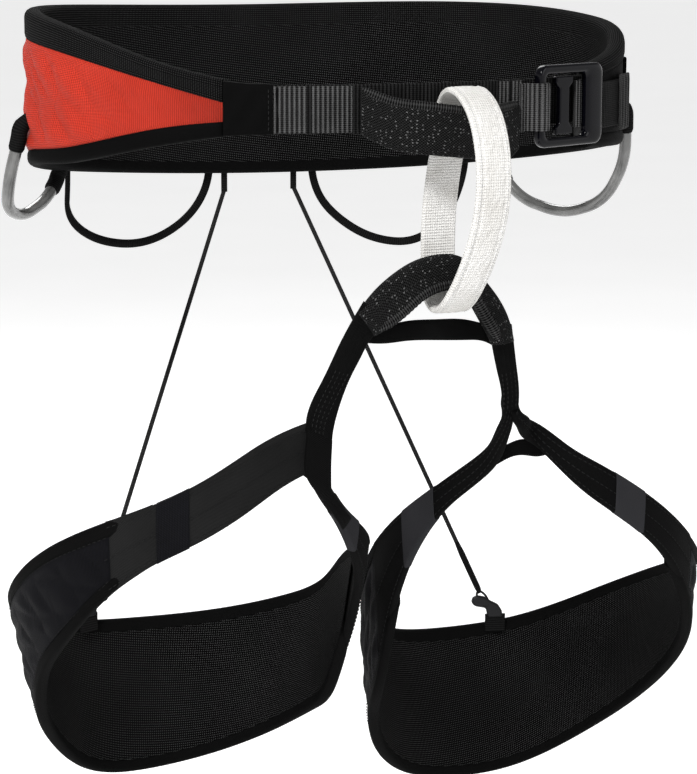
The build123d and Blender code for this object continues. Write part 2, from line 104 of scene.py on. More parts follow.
# angle from the front (+ outwards), upper radius, lower radius, upper height, lower height
LEG = {
    "left": {
        "centre_x": 94.0,
        "pad": [
            (44, 87, 86, -218, -251),
            (66, 88, 84, -235, -283),
            (92, 88, 80, -250, -316),
            (124, 87, 79, -272, -350),
            (155, 86, 80, -291, -374),
            (182, 86, 81, -295, -378),
            (205, 85, 81, -290, -369),
            (228, 84, 80, -275, -346),
            (248, 83, 79, -249, -318),
            (266, 83, 79, -223, -289),
        ],
        "outer_strap": [
            (-27, 86, 86, -148, -158.5),
            (-17, 86.5, 86, -159.5, -174),
            (-6, 87, 86, -169.5, -188),
            (14, 87, 86, -188, -209),
            (30, 87, 86, -204, -229),
            (46, 87, 86, -219, -253),
        ],
        "inner_strap": [
            (264, 83, 79, -225, -290),
            (277, 83, 80, -210, -252),
            (290, 84, 82, -196, -221),
            (306, 86, 85, -179, -194),
            (320, 88, 87, -160.5, -174),
        ],
        "outer_start": [
            (43.5, -119.5, -134.0, 36.0, -119.5, -137.0),
            (43.5, -119.2, -140.5, 39.8, -118.8, -145.0),
            (49.5, -116.8, -145.6, 45.6, -116.0, -151.6),
        ],
        "inner_end": [
            (36.3, -108.0, -151.3, 40.6, -108.0, -160.9),
            (35.8, -113.5, -146.3, 41.3, -112.5, -153.9),
            (34.6, -117.5, -141.0, 41.2, -117.0, -146.5),
            (35.8, -118.6, -131.0, 41.5, -118.6, -133.0),
        ],
        "riser": [
            (34.2, -126.0, -99.0, 23.5, -126.0, -103.0),
            (36.2, -124.5, -107.5, 25.5, -124.5, -109.0),
            (39.0, -122.5, -120.0, 29.5, -122.5, -122.0),
            (42.0, -119.5, -133.0, 33.5, -119.5, -134.0),
            (42.2, -118.6, -139.5, 34.2, -118.6, -141.0),
        ],
        "gusset": [
            (39.5, -101.5, -165.0, 37.5, -101.0, -173.5),
            (47.0, -104.0, -161.4, 44.2, -103.0, -170.0),
            (54.0, -106.5, -160.0, 52.1, -105.0, -167.9),
            (60.0, -108.0, -161.6, 59.0, -107.5, -168.2),
            (65.0, -109.3, -164.0, 64.0, -109.0, -167.5),
        ],
        "hook_angle": 163.0,
        "edge_top": -291.5,
        "elastic_top": (26.0, 108.0, -58.0),
        "outer_patch": (1.5, 13),
        "inner_patch": (286, 301),
    },
    "right": {
        "centre_x": 87.5,
        "pad": [
            (46, 87, 85, -182, -216),
            (66, 88, 82, -196, -243),
            (86, 88, 78, -214, -267),
            (106, 88, 75, -233, -293),
            (126, 88, 74, -249, -315),
            (152, 87, 74, -264, -340),
            (182, 87, 76, -270, -348),
            (210, 87, 77, -267, -341),
            (236, 86, 77, -256, -325),
            (256, 86, 77, -241, -309),
            (267, 86, 77, -227, -297),
        ],
        "outer_strap": [
            (-14, 87, 86, -141, -165),
            (2, 87, 86, -150, -177),
            (20, 87, 86, -165, -192),
            (33, 87, 86, -174, -202),
            (48, 87, 85, -183, -218),
        ],
        "inner_strap": [
            (265, 86, 77, -229, -298),
            (282, 86, 79, -216, -262),
            (298, 86, 82, -206, -233),
            (316, 87, 85, -193, -209),
            (328, 87, 86, -180, -190),
            (336, 87, 86, -166, -177),
            (340, 88, 87, -156, -168),
        ],
        "outer_start": [
            (-50.5, -117.5, -146.5, -50.8, -117.0, -160.0),
            (-57.0, -117.0, -139.5, -57.5, -116.5, -161.0),
        ],
        "inner_end": [
            (-51.5, -114.0, -150.0, -61.0, -114.5, -163.0),
        ],
        "riser": [
            (-40.0, -126.0, -84.0, -31.5, -126.0, -96.5),
            (-43.5, -124.5, -90.5, -35.5, -124.5, -101.0),
            (-50.5, -122.5, -104.0, -40.5, -122.5, -110.5),
            (-57.0, -120.0, -119.0, -45.5, -120.0, -122.0),
            (-64.0, -117.5, -136.0, -51.5, -117.5, -144.0),
            (-64.5, -116.8, -143.0, -51.8, -116.8, -151.0),
        ],
        "gusset": [
            (-74.0, -112.5, -156.0, -73.0, -112.5, -161.0),
            (-63.0, -112.0, -155.0, -61.0, -112.0, -165.0),
            (-53.0, -110.0, -157.0, -51.0, -110.0, -173.0),
        ],
        "hook_angle": 159.0,
        "edge_top": -265.0,
        "elastic_top": (-13.5, 108.5, -58.0),
        "outer_patch": (21, 31),
        "inner_patch": (317, 331),
    },
}

BELAY_LOOP = [
    (8.5, -126.0, 8.4),
    (9.8, -139.0, 3.6),
    (10.6, -148.5, -10.0),
    (10.6, -152.5, -29.0),
    (8.8, -151.6, -50.0),
    (5.0, -147.0, -69.0),
    (1.6, -139.5, -83.5),
    (0.8, -130.0, -89.6),
    (1.8, -118.0, -85.2),
    (4.2, -110.4, -70.0),
    (6.0, -107.6, -50.0),
    (7.4, -108.6, -32.0),
    (8.0, -112.0, -19.0),
    (8.3, -115.3, -7.0),
    (8.4, -117.6, 2.5),
]
BELAY_WIDTH = 17.0
BELAY_THICKNESS = 2.6
BELAY_MIDDLE = (5.0, -130.0, -40.0)

TIE_IN_SLEEVE = [
    (-35.0, -112.2, 10.5, -11.5),
    (-22.0, -118.0, 5.0, -18.0),
    (-7.0, -124.6, 2.8, -20.4),
    (9.0, -126.0, 0.6, -22.2),
    (25.0, -121.8, 0.4, -24.8),
    (36.0, -114.6, 1.0, -25.5),
    (43.0, -110.2, 1.5, -22.0),
]
BRIDGE_Y = -126.0
BRIDGE_INSIDE = (0.0, 0.0, -80.0)
BRIDGE_SLEEVE = [
    (-43.0, -89.5, -35.2, -100.0),
    (-35.0, -80.3, -28.5, -97.0),
    (-26.0, -73.2, -21.0, -92.2),
    (-15.0, -67.4, -12.0, -85.4),
    (-3.5, -65.0, -3.0, -82.0),
    (7.5, -66.4, 5.5, -81.8),
    (18.0, -75.5, 12.5, -87.6),
    (27.0, -86.4, 18.0, -96.5),
    (33.0, -98.0, 22.5, -104.0),
    (35.2, -106.5, 24.4, -108.0),
]
CROSSBAR_Y = -119.4
CROSSBAR = [
    (-34.5, -98.5, -36.0, -104.2),
    (-27.5, -97.5, -28.0, -105.0),
    (-17.0, -95.6, -17.0, -104.6),
    (-1.0, -95.6, -1.0, -105.2),
    (15.0, -96.8, 15.0, -106.2),
    (26.0, -99.5, 25.0, -108.0),
    (31.5, -100.0, 30.5, -111.0),
]
# stretch that carries the right riser on down into the inner strap, in front of the outer one
RISER_JOIN = [
    (-64.2, -119.0, -139.0, -51.8, -119.0, -147.0),
    (-66.0, -119.6, -154.0, -53.1, -119.4, -158.0),
    (-65.5, -119.0, -162.4, -52.8, -118.8, -167.5),
    (-61.4, -116.8, -168.5, -51.6, -117.4, -171.5),
    (-54.8, -113.0, -176.0, -48.0, -114.5, -175.6),
    (-47.0, -109.0, -185.5, -43.0, -111.4, -181.3),
    (-40.0, -104.5, -194.4, -36.6, -107.0, -188.1),
]

GEAR_REAR = {
    "left": [
        (113.5, 77.5, -50.5), (109.5, 88.0, -74.0), (95.0, 99.0, -91.0),
        (70.0, 107.0, -88.0), (47.0, 110.0, -72.0), (37.0, 109.0, -55.0),
    ],
    "right": [
        (-111.0, 75.0, -46.5), (-110.0, 82.0, -66.0), (-90.0, 93.0, -80.0),
        (-60.0, 104.0, -84.5), (-34.0, 110.0, -73.5), (-21.0, 111.0, -55.0),
    ],
}
GEAR_FRONT = {
    "left": [
        (151.0, -26.5, -14.0), (154.5, -21.0, -38.0), (151.5, -6.0, -60.0),
        (142.0, 20.0, -69.0), (131.0, 46.0, -63.0), (124.0, 60.0, -48.5),
    ],
    "right": [
        (-153.6, 16.0, -16.0), (-157.5, 22.0, -37.0), (-156.0, 33.0, -54.0),
        (-144.0, 46.0, -59.5), (-129.0, 58.0, -54.0), (-118.5, 67.5, -44.0),
    ],
}
SEWN_IN = np.array([0.0, 0.0, 11.0])   # how far a rear gear loop runs up inside the hem


# ---------------------------------------------------------------- numeric helpers
def smooth(rows, count):
    """Rows of numbers along a natural cubic spline through the given rows."""
    rows = np.array(rows, dtype=float)
    steps = np.linalg.norm(np.diff(rows[:, :3], axis=0), axis=1)
    knots = np.concatenate([[0.0], np.cumsum(steps)])
    size = len(rows)
    system = np.eye(size)
    target = np.zeros_like(rows)
    for i in range(1, size - 1):
        system[i, i - 1:i + 2] = [steps[i - 1], 2 * (steps[i - 1] + steps[i]), steps[i]]
        slope_after = (rows[i + 1] - rows[i]) / steps[i]
        slope_before = (rows[i] - rows[i - 1]) / steps[i - 1]
        target[i] = 6 * (slope_after - slope_before)
    bend = np.linalg.solve(system, target)
    places = np.linspace(0.0, knots[-1], count)
    index = np.clip(np.searchsorted(knots, places, side="right") - 1, 0, size - 2)
    u = (places - knots[index])[:, None]
    h = steps[index][:, None]
    slope = (rows[index + 1] - rows[index]) / h - h * (2 * bend[index] + bend[index + 1]) / 6
    curve = u * u * bend[index] / 2 + u ** 3 * (bend[index + 1] - bend[index]) / (6 * h)
    return rows[index] + u * slope + curve


def smooth_closed(rows, count):
    """The same through a closed round of rows; the last row repeats the first."""
    rows = list(rows)
    wrapped = rows[-3:] + rows + rows[:4]
    dense = smooth(wrapped, 2001)
    gap = np.linalg.norm(dense[:, :3] - np.array(rows[0])[:3], axis=1)
    first = int(np.argmin(gap[:1000]))
    last = 1000 + int(np.argmin(gap[1000:]))
    span = dense[first:last + 1]
    picks = np.linspace(0, len(span) - 1, count)
    out = np.array([span[int(round(pick))] for pick in picks])
    out[-1] = out[0]
    return out


def unit_rows(vectors):
    return vectors / np.maximum(np.linalg.norm(vectors, axis=1), 1e-9)[:, None]


def belt_table(count, start=-36.6, end=-322.0):
    """Edge rows of the belt, and the depths of its top roll and bottom tape there."""
    table = smooth([(row[0], 0, 0, *row[1:]) for row in BELT_EDGES], 600)
    angles = np.linspace(start, end, count)
    values = [np.interp(-angles, -table[:, 0], table[:, k]) for k in (3, 4, 5, 6)]
    x = WAIST_HALF_WIDTH * np.sin(np.radians(angles))
    y = -WAIST_HALF_DEPTH * np.cos(np.radians(angles))
    edges = np.stack([x, y, values[0], x, y, values[1]], axis=1)
    return edges, values[2], values[3]


def ring_strip(start, end, top, bottom, count):
    """Edge rows of a level strip on the belt's outer ellipse."""
    angles = np.radians(np.linspace(start, end, count))
    x = WAIST_HALF_WIDTH * np.sin(angles)
    y = -WAIST_HALF_DEPTH * np.cos(angles)
    level = np.ones_like(x)
    return np.stack([x, y, top * level, x, y, bottom * level], axis=1)


def leg_points(name, rows):
    """Table rows of a leg loop as edge rows in space."""
    leg = LEG[name]
    side = SIDES[name]
    points = []
    for angle, upper_radius, lower_radius, top, bottom in rows:
        across = side * sin(radians(angle))
        ahead = -cos(radians(angle))
        x0 = side * leg["centre_x"]
        points.append((
            x0 + across * upper_radius, LEG_CENTRE_Y + ahead * upper_radius, top,
            x0 + across * lower_radius, LEG_CENTRE_Y + ahead * lower_radius, bottom,
        ))
    return points


def section_frames(edges, centre):
    """Middle line, unit vectors across (downwards) and outwards, and width of each row."""
    upper, lower = edges[:, :3], edges[:, 3:]
    width = np.linalg.norm(lower - upper, axis=1)
    across = (lower - upper) / width[:, None]
    middle = (upper + lower) / 2
    ahead = unit_rows(np.gradient(middle, axis=0))
    normal = unit_rows(np.cross(ahead, across))
    facing = np.sum(normal * (middle - np.array(centre)), axis=1)
    if np.sum(facing) < 0:
        normal = -normal
    return middle, across, normal, width


def trimmed(edges, upper, lower):
    """Edge rows moved in from each edge by a distance, or by one distance a row."""
    width = np.linalg.norm(edges[:, 3:] - edges[:, :3], axis=1)[:, None]
    across = (edges[:, 3:] - edges[:, :3]) / width
    upper = np.broadcast_to(np.asarray(upper, float), (len(edges),))[:, None]
    lower = np.broadcast_to(np.asarray(lower, float), (len(edges),))[:, None]
    return np.concatenate([edges[:, :3] + across * upper, edges[:, 3:] - across * lower], axis=1)


def strip_at_edge(edges, at_upper, depth):
    """Edge rows of the strip of that depth along one edge."""
    width = np.linalg.norm(edges[:, 3:] - edges[:, :3], axis=1)
    rest = width - np.asarray(depth, float)
    return trimmed(edges, 0, rest) if at_upper else trimmed(edges, rest, 0)


def facets(u, v, size, seed):
    """Soft embossed facets: height 0 to 1 that falls from the middle of each cell to its rim."""
    rng = np.random.default_rng(seed)
    cells_u = int(u.max() / size) + 2
    cells_v = int(v.max() / size) + 2
    centre_u = (np.arange(cells_u)[:, None] + rng.uniform(0.1, 0.9, (cells_u, cells_v))) * size
    centre_v = (np.arange(cells_v)[None, :] + rng.uniform(0.1, 0.9, (cells_u, cells_v))) * size
    points = np.stack([centre_u.ravel(), centre_v.ravel()], axis=1)
    here = np.stack([u.ravel(), v.ravel()], axis=1)
    near = np.full(len(here), 1e9)
    second = np.full(len(here), 1e9)
    for point in points:
        gap = np.linalg.norm(here - point, axis=1)
        closer = gap < near
        second = np.where(closer, near, np.minimum(second, gap))
        near = np.where(closer, gap, near)
    height = np.clip((second - near) / size, 0, 1)
    return (height ** 0.7).reshape(u.shape)


# ---------------------------------------------------------------- mesh helpers
def new_mesh(name, vertices, faces, uvs, material):
    """Object from vertices in millimetres, faces and one uv (millimetres) per face corner."""
    mesh = bpy.data.meshes.new(name)
    mesh.from_pydata((np.asarray(vertices) * MM).tolist(), [], faces)
    layer = mesh.uv_layers.new(name="UVMap")
    flat = np.asarray(uvs, float).reshape(-1, 2) * MM
    layer.data.foreach_set("uv", flat.ravel())
    mesh.polygons.foreach_set("use_smooth", [True] * len(mesh.polygons))
    mesh.materials.append(material)
    mesh.update()
    piece = bpy.data.objects.new(name, mesh)
    bpy.context.scene.collection.objects.link(piece)
    return piece


def loft(name, rings, along, material, closed=False):
    """Closed skin through rings of points; along is each ring's distance along the piece."""
    rings = np.asarray(rings, float)
    count, corners = rings.shape[:2]
    vertices = rings.reshape(-1, 3)
    side = np.linalg.norm(np.diff(rings[count // 2], axis=0, append=rings[count // 2][:1]), axis=1)
    around = np.concatenate([[0], np.cumsum(side)])
    faces, uvs = [], []
    spans = count if closed else count - 1
    for i in range(spans):
        after = (i + 1) % count
        u0 = along[i]
        u1 = along[i + 1] if i + 1 < len(along) else along[i] + (along[i] - along[i - 1])
        for j in range(corners):
            k = (j + 1) % corners
            faces.append((i * corners + j, i * corners + k, after * corners + k, after * corners + j))
            uvs.append(((u0, around[j]), (u0, around[j + 1]), (u1, around[j + 1]), (u1, around[j])))
    flat = [corner for face in uvs for corner in face]
    if not closed:
        for i, flip in ((0, True), (count - 1, False)):
            order = list(range(corners))
            if flip:
                order.reverse()
            faces.append([i * corners + j for j in order])
            flat.extend((along[i] + 0.001 * j, around[j]) for j in order)
    piece = new_mesh(name, vertices, faces, flat, material)
    recalc(piece)
    return piece


def recalc(piece):
    """Makes the faces point outwards."""
    work = bmesh.new()
    work.from_mesh(piece.data)
    bmesh.ops.recalc_face_normals(work, faces=work.faces)
    work.to_mesh(piece.data)
    work.free()


def rounded_outline(half, back, front, radius, flat_points=8, corner_points=5):
    """Rounded rectangle: x from -half to half across the strap, y from back to front."""
    radius = min(radius, half, (front - back) / 2)
    outline = []
    corners = [(-half, front, 180), (half, front, 90), (half, back, 0), (-half, back, -90)]
    runs = [flat_points, 2, flat_points, 2]
    for place, (x, y, start) in enumerate(corners):
        cx = x + radius * (1 if x < 0 else -1)
        cy = y + radius * (1 if y == back else -1)
        for k in range(corner_points):
            turn = radians(start - 90 * k / (corner_points - 1))
            outline.append((cx + radius * cos(turn), cy + radius * sin(turn)))
        last = outline[-1]
        x, y, start = corners[(place + 1) % 4]
        turn = radians(start)
        after = (x + radius * (1 if x < 0 else -1) + radius * cos(turn),
                 y + radius * (1 if y == back else -1) + radius * sin(turn))
        for k in range(1, runs[place]):
            t = k / runs[place]
            outline.append((last[0] + t * (after[0] - last[0]), last[1] + t * (after[1] - last[1])))
    return np.array(outline)


def ribbon(name, edges, back, front, material, radius=1.0, crown=0.0, relief=None,
           centre=(0.0, 0.0, 0.0), flat_points=8, closed=False, back_crown=0.0, ends=0.0):
    """Strap or pad layer with rounded edges, as wide as its edge rows say."""
    middle, across, normal, width = section_frames(edges, centre)
    if closed:
        ahead = unit_rows(np.roll(middle, -1, axis=0) - np.roll(middle, 1, axis=0))
        normal = unit_rows(np.cross(ahead, across))
        if np.sum(normal * (middle - np.array(centre))) < 0:
            normal = -normal
    rings = []
    along = np.concatenate([[0], np.cumsum(np.linalg.norm(np.diff(middle, axis=0), axis=1))])
    for i in range(len(edges)):
        half = width[i] / 2
        outline = rounded_outline(half, back, front, radius, flat_points)
        x, y = outline[:, 0], outline[:, 1].copy()
        bulge = np.clip(1 - (x / half) ** 2, 0, 1)
        level = (y - back) / (front - back)
        y = y + crown * bulge * level - back_crown * bulge * (1 - level)
        if relief is not None:
            y = y + relief(along[i], x + half, width[i]) * level * np.clip(bulge * 3, 0, 1)
        near = min(along[i], along[-1] - along[i])
        if near < ends:
            thinner = 0.12 + 0.88 * (1 - (1 - near / ends) ** 2) ** 0.5
            y = back + (y - back) * thinner
        rings.append(middle[i] + across[i] * x[:, None] + normal[i] * y[:, None])
    return loft(name, rings, along, material, closed)


def resampled(grid, rows, columns):
    """The grid of points again, on smooth lines, with that many rows and columns."""
    across = np.array([smooth(line, columns) for line in grid])
    return np.stack([smooth(across[:, j], rows) for j in range(columns)], axis=1)


def relaxed(grid, outward):
    """The sheet swollen outwards by cloth simulation, held along its border."""
    rows, columns = grid.shape[:2]
    faces = [(i * columns + j, i * columns + j + 1, (i + 1) * columns + j + 1, (i + 1) * columns + j)
             for i in range(rows - 1) for j in range(columns - 1)]
    i, j = rows // 2, columns // 2
    facing = np.cross(grid[i, j + 1] - grid[i, j], grid[i + 1, j] - grid[i, j])
    if np.dot(facing, outward[i, 0]) < 0:
        faces = [face[::-1] for face in faces]
    mesh = bpy.data.meshes.new("sheet")
    mesh.from_pydata((grid.reshape(-1, 3) * MM * CLOTH_SCALE).tolist(), [], faces)
    piece = bpy.data.objects.new("sheet", mesh)
    bpy.context.scene.collection.objects.link(piece)
    border = [i * columns + j for i in range(rows) for j in range(columns)
              if i in (0, rows - 1) or j in (0, columns - 1)]
    piece.vertex_groups.new(name="border").add(border, 1.0, "REPLACE")
    cloth = piece.modifiers.new("cloth", "CLOTH")
    cloth.settings.quality = 6
    cloth.settings.vertex_group_mass = "border"
    cloth.settings.shrink_min = -CLOTH_SLACK
    cloth.settings.shrink_max = -CLOTH_SLACK
    cloth.settings.use_pressure = True
    cloth.settings.uniform_pressure_force = CLOTH_PRESSURE
    cloth.settings.effector_weights.gravity = 0.0
    cloth.point_cache.frame_start = 1
    cloth.point_cache.frame_end = CLOTH_FRAMES
    scene = bpy.context.scene
    for frame_number in range(1, CLOTH_FRAMES + 1):
        scene.frame_set(frame_number)
    shape = piece.evaluated_get(bpy.context.evaluated_depsgraph_get()).data
    points = np.array([vertex.co[:] for vertex in shape.vertices]) / (MM * CLOTH_SCALE)
    bpy.data.objects.remove(piece)
    bpy.data.meshes.remove(mesh)
    scene.frame_set(1)
    return points.reshape(grid.shape)


def cover(name, edges, material, relief, swell=1.0, centre=(0.0, 0.0, 0.0)):
    """Outer fabric of a padded piece: held at its edges, swollen between them, then embossed."""
    middle, _, normal, _ = section_frames(edges, centre)
    length = np.sum(np.linalg.norm(np.diff(middle, axis=0), axis=1))
    rows, columns = max(12, int(length / CLOTH_STEP)), 13
    base = np.stack([edges[:, :3] + (edges[:, 3:] - edges[:, :3]) * t + normal * COVER_FRONT
                     for t in np.linspace(0, 1, columns)], axis=1)
    coarse = resampled(base, rows, columns)
    steps = np.linspace(0, len(edges) - 1, rows)
    out = unit_rows(np.stack([np.interp(steps, np.arange(len(edges)), normal[:, k])
                              for k in range(3)], axis=1))[:, None, :]
    shift = relaxed(coarse, out) - coarse
    reach = np.linalg.norm(shift, axis=2, keepdims=True)
    shift = shift * np.minimum(1.0, CLOTH_CAP / np.maximum(reach, 1e-6))
    lift = np.sum(shift * out, axis=2, keepdims=True)
    shift = shift + out * np.maximum(0.0, -lift)
    moved = coarse + shift * swell
    fine_rows, fine_columns = max(40, int(length / 1.7)), 34
    top = resampled(moved, fine_rows, fine_columns)
    low = resampled(coarse, fine_rows, fine_columns)
    steps = np.linspace(0, rows - 1, fine_rows)
    out = unit_rows(np.stack([np.interp(steps, np.arange(rows), out[:, 0, k])
                              for k in range(3)], axis=1))[:, None, :]
    along = np.linspace(0, length, fine_rows)
    for i in range(fine_rows):
        wide = np.linalg.norm(low[i, -1] - low[i, 0])
        place = np.linspace(0, wide, fine_columns)
        edge = np.clip(np.minimum(place, wide - place) / 6.0, 0, 1)
        edge = edge * np.clip(min(along[i], length - along[i]) / 8.0, 0, 1)
        top[i] = top[i] + out[i] * (relief(along[i], place, wide) * edge)[:, None]
    bottom = low + out * (COVER_BACK - COVER_FRONT)
    rings = np.concatenate([top, bottom[:, ::-1]], axis=1)
    return loft(name, rings, along, material)


def tube_rings(points, outline, up=(0.0, 0.0, 1.0)):
    """Rings of a section outline (x, y) carried along points, with x kept near level."""
    points = np.asarray(points, float)
    ahead = unit_rows(np.gradient(points, axis=0))
    side = unit_rows(np.cross(ahead, np.array(up)))
    top = unit_rows(np.cross(side, ahead))
    rings = [p + s * outline[:, :1] + t * outline[:, 1:] for p, s, t in zip(points, side, top)]
    along = np.concatenate([[0], np.cumsum(np.linalg.norm(np.diff(points, axis=0), axis=1))])
    return rings, along


def ellipse_outline(half_x, half_y, count=16):
    turns = np.linspace(0, 2 * pi, count, endpoint=False)
    return np.stack([half_x * np.cos(turns), half_y * np.sin(turns)], axis=1)


def curve_points(points):
    """Points of the smooth NURBS line that has these control points, in millimetres."""
    curve = bpy.data.curves.new("route", "CURVE")
    curve.dimensions = "3D"
    spline = curve.splines.new("NURBS")
    spline.points.add(len(points) - 1)
    for target, point in zip(spline.points, points):
        target.co = (*[value * MM for value in point], 1.0)
    spline.order_u = 3
    spline.use_endpoint_u = True
    spline.resolution_u = 12
    holder = bpy.data.objects.new("route", curve)
    bpy.context.scene.collection.objects.link(holder)
    mesh = bpy.data.meshes.new_from_object(holder)
    line = np.array([vertex.co[:] for vertex in mesh.vertices]) / MM
    bpy.data.objects.remove(holder)
    bpy.data.meshes.remove(mesh)
    return line


def stitches(name, lines, material, length=2.2, gap=1.2, radius=0.28):
    """Raised thread dashes along lines of points in millimetres."""
    vertices, faces, uvs = [], [], []
    ring = 6
    for line in lines:
        line = np.asarray(line, float)
        steps = np.linalg.norm(np.diff(line, axis=0), axis=1)
        knots = np.concatenate([[0], np.cumsum(steps)])
        place = gap
        while place + length < knots[-1]:
            stops = np.linspace(place, place + length, 4)
            core = np.stack([np.interp(stops, knots, line[:, k]) for k in range(3)], axis=1)
            ahead = unit_rows(np.gradient(core, axis=0))
            side = unit_rows(np.cross(ahead, [0.31, 0.27, 0.91]))
            top = np.cross(side, ahead)
            base = len(vertices)
            for i, scale in enumerate((0.45, 1.0, 1.0, 0.45)):
                for j in range(ring):
                    turn = 2 * pi * j / ring
                    offset = side[i] * cos(turn) + top[i] * sin(turn)
                    vertices.append(core[i] + offset * radius * scale)
            for i in range(3):
                for j in range(ring):
                    k = (j + 1) % ring
                    a, b = base + i * ring, base + (i + 1) * ring
                    faces.append((a + j, a + k, b + k, b + j))
                    uvs.extend([(i, j), (i, j + 1), (i + 1, j + 1), (i + 1, j)])
            faces.append([base + j for j in reversed(range(ring))])
            faces.append([base + 3 * ring + j for j in range(ring)])
            uvs.extend([(0, j) for j in range(2 * ring)])
            place += length + gap
    return new_mesh(name, vertices, faces, uvs, material)


def offset_line(edges, distance, lift, centre=(0.0, 0.0, 0.0)):
    """Line along a strap: distance from the upper edge (from the lower if negative)."""
    _, across, normal, width = section_frames(edges, centre)
    place = distance if distance >= 0 else width[:, None] + distance
    return edges[:, :3] + across * place + normal * lift


# ---------------------------------------------------------------- material helpers
class Nodes:
    """Short forms for building one material's node tree."""

    def __init__(self, name, base, roughness, sheen=0.0, specular=0.4, coat=0.0):
        self.material = bpy.data.materials.new(name)
        self.material.use_nodes = True
        self.tree = self.material.node_tree
        self.shader = self.tree.nodes["Principled BSDF"]
        self.shader.inputs["Base Color"].default_value = (*base, 1)
        self.shader.inputs["Roughness"].default_value = roughness
        self.shader.inputs["Specular IOR Level"].default_value = specular
        self.shader.inputs["Sheen Weight"].default_value = sheen
        self.shader.inputs["Sheen Roughness"].default_value = 0.5
        self.shader.inputs["Coat Weight"].default_value = coat
        self.shader.inputs["Coat Roughness"].default_value = 0.08
        self.coordinates = self.tree.nodes.new("ShaderNodeTexCoord")

    def link(self, source, target):
        if isinstance(source, (int, float)):
            target.default_value = source
        else:
            self.tree.links.new(source, target)

    def math(self, operation, first, second=0.0, third=0.0):
        node = self.tree.nodes.new("ShaderNodeMath")
        node.operation = operation
        for value, socket in zip((first, second, third), node.inputs):
            self.link(value, socket)
        return node.outputs[0]

    def uv(self):
        node = self.tree.nodes.new("ShaderNodeSeparateXYZ")
        self.tree.links.new(self.coordinates.outputs["UV"], node.inputs[0])
        return node.outputs[0], node.outputs[1]

    def noise(self, scale, detail=3.0, stretch=None):
        node = self.tree.nodes.new("ShaderNodeTexNoise")
        node.inputs["Scale"].default_value = scale
        node.inputs["Detail"].default_value = detail
        source = self.coordinates.outputs["Object"]
        if stretch:
            mapping = self.tree.nodes.new("ShaderNodeMapping")
            mapping.inputs["Scale"].default_value = stretch
            self.tree.links.new(source, mapping.inputs["Vector"])
            source = mapping.outputs["Vector"]
        self.tree.links.new(source, node.inputs["Vector"])
        return node.outputs["Fac"]

    def wave(self, value, pitch):
        """Sine of a length in metres with that pitch in millimetres, from 0 to 1."""
        turned = self.math("MULTIPLY_ADD", value, 2 * pi / (pitch * MM))
        return self.math("MULTIPLY_ADD", self.math("SINE", turned), 0.5, 0.5)

    def turned(self, degrees):
        """The two uv lengths turned by an angle."""
        u, v = self.uv()
        c, s = cos(radians(degrees)), sin(radians(degrees))
        a = self.math("ADD", self.math("MULTIPLY", u, c), self.math("MULTIPLY", v, s))
        b = self.math("SUBTRACT", self.math("MULTIPLY", v, c), self.math("MULTIPLY", u, s))
        return a, b

    def weave(self, pitch, degrees=0.0, aspect=1.0):
        """Crossing threads: bumps on a turned grid, from 0 to 1."""
        a, b = self.turned(degrees)
        first = self.wave(a, pitch)
        second = self.wave(b, pitch * aspect)
        raised = self.math("MULTIPLY", first, second)
        other = self.math("MULTIPLY", self.math("SUBTRACT", 1.0, first),
                          self.math("SUBTRACT", 1.0, second))
        return self.math("ADD", raised, other)

    def ramp(self, factor, low, high, start=0.0, end=1.0):
        node = self.tree.nodes.new("ShaderNodeValToRGB")
        node.color_ramp.elements[0].position = start
        node.color_ramp.elements[1].position = end
        node.color_ramp.elements[0].color = (*low, 1)
        node.color_ramp.elements[1].color = (*high, 1)
        self.link(factor, node.inputs[0])
        return node.outputs[0]

    def mix(self, factor, first, second, mode="MIX"):
        node = self.tree.nodes.new("ShaderNodeMix")
        node.data_type = "RGBA"
        node.blend_type = mode
        self.link(factor, node.inputs[0])
        self.tree.links.new(first, node.inputs[6])
        self.tree.links.new(second, node.inputs[7])
        return node.outputs[2]

    def colour(self, source):
        self.tree.links.new(source, self.shader.inputs["Base Color"])

    def roughness(self, factor, low, high):
        spread = self.math("MULTIPLY_ADD", factor, high - low, low)
        self.tree.links.new(spread, self.shader.inputs["Roughness"])

    def bump(self, height, distance_mm):
        node = self.tree.nodes.new("ShaderNodeBump")
        node.inputs["Strength"].default_value = 1.0
        node.inputs["Distance"].default_value = distance_mm * MM
        self.link(height, node.inputs["Height"])
        previous = self.shader.inputs["Normal"].links
        if previous:
            self.tree.links.new(previous[0].from_socket, node.inputs["Normal"])
        self.tree.links.new(node.outputs["Normal"], self.shader.inputs["Normal"])


def grey(value, blue=1.0):
    return (value, value, value * blue)


def woven(name, low, high, pitch, degrees=0.0, aspect=1.0, bump=0.25, roughness=0.75,
          start=0.25, end=0.9, wear=0.25, specular=0.03):
    """Cloth whose raised threads are painted lighter than the gaps between them, partly the weave's own
    pattern and partly painted highlight on the thread tops and painted shade in the gaps, and a slow
    change of tone from wear.
    """
    n = Nodes(name, high, roughness, specular=specular)
    threads = n.weave(pitch, degrees, aspect)
    # partly painted highlight and shade: the thread tops take the high colour and the gaps the low one,
    # in place of sheen
    shade = n.ramp(threads, low, high, start, end)
    slow = n.noise(35.0)
    tone = n.ramp(slow, grey(1 - wear), grey(1.0), 0.3, 0.7)
    n.colour(n.mix(1.0, shade, tone, "MULTIPLY"))
    n.roughness(slow, roughness - 0.1, min(1.0, roughness + 0.1))
    fine = n.noise(2500.0, 2.0)
    n.bump(threads, bump)
    n.bump(fine, 0.06)
    return n


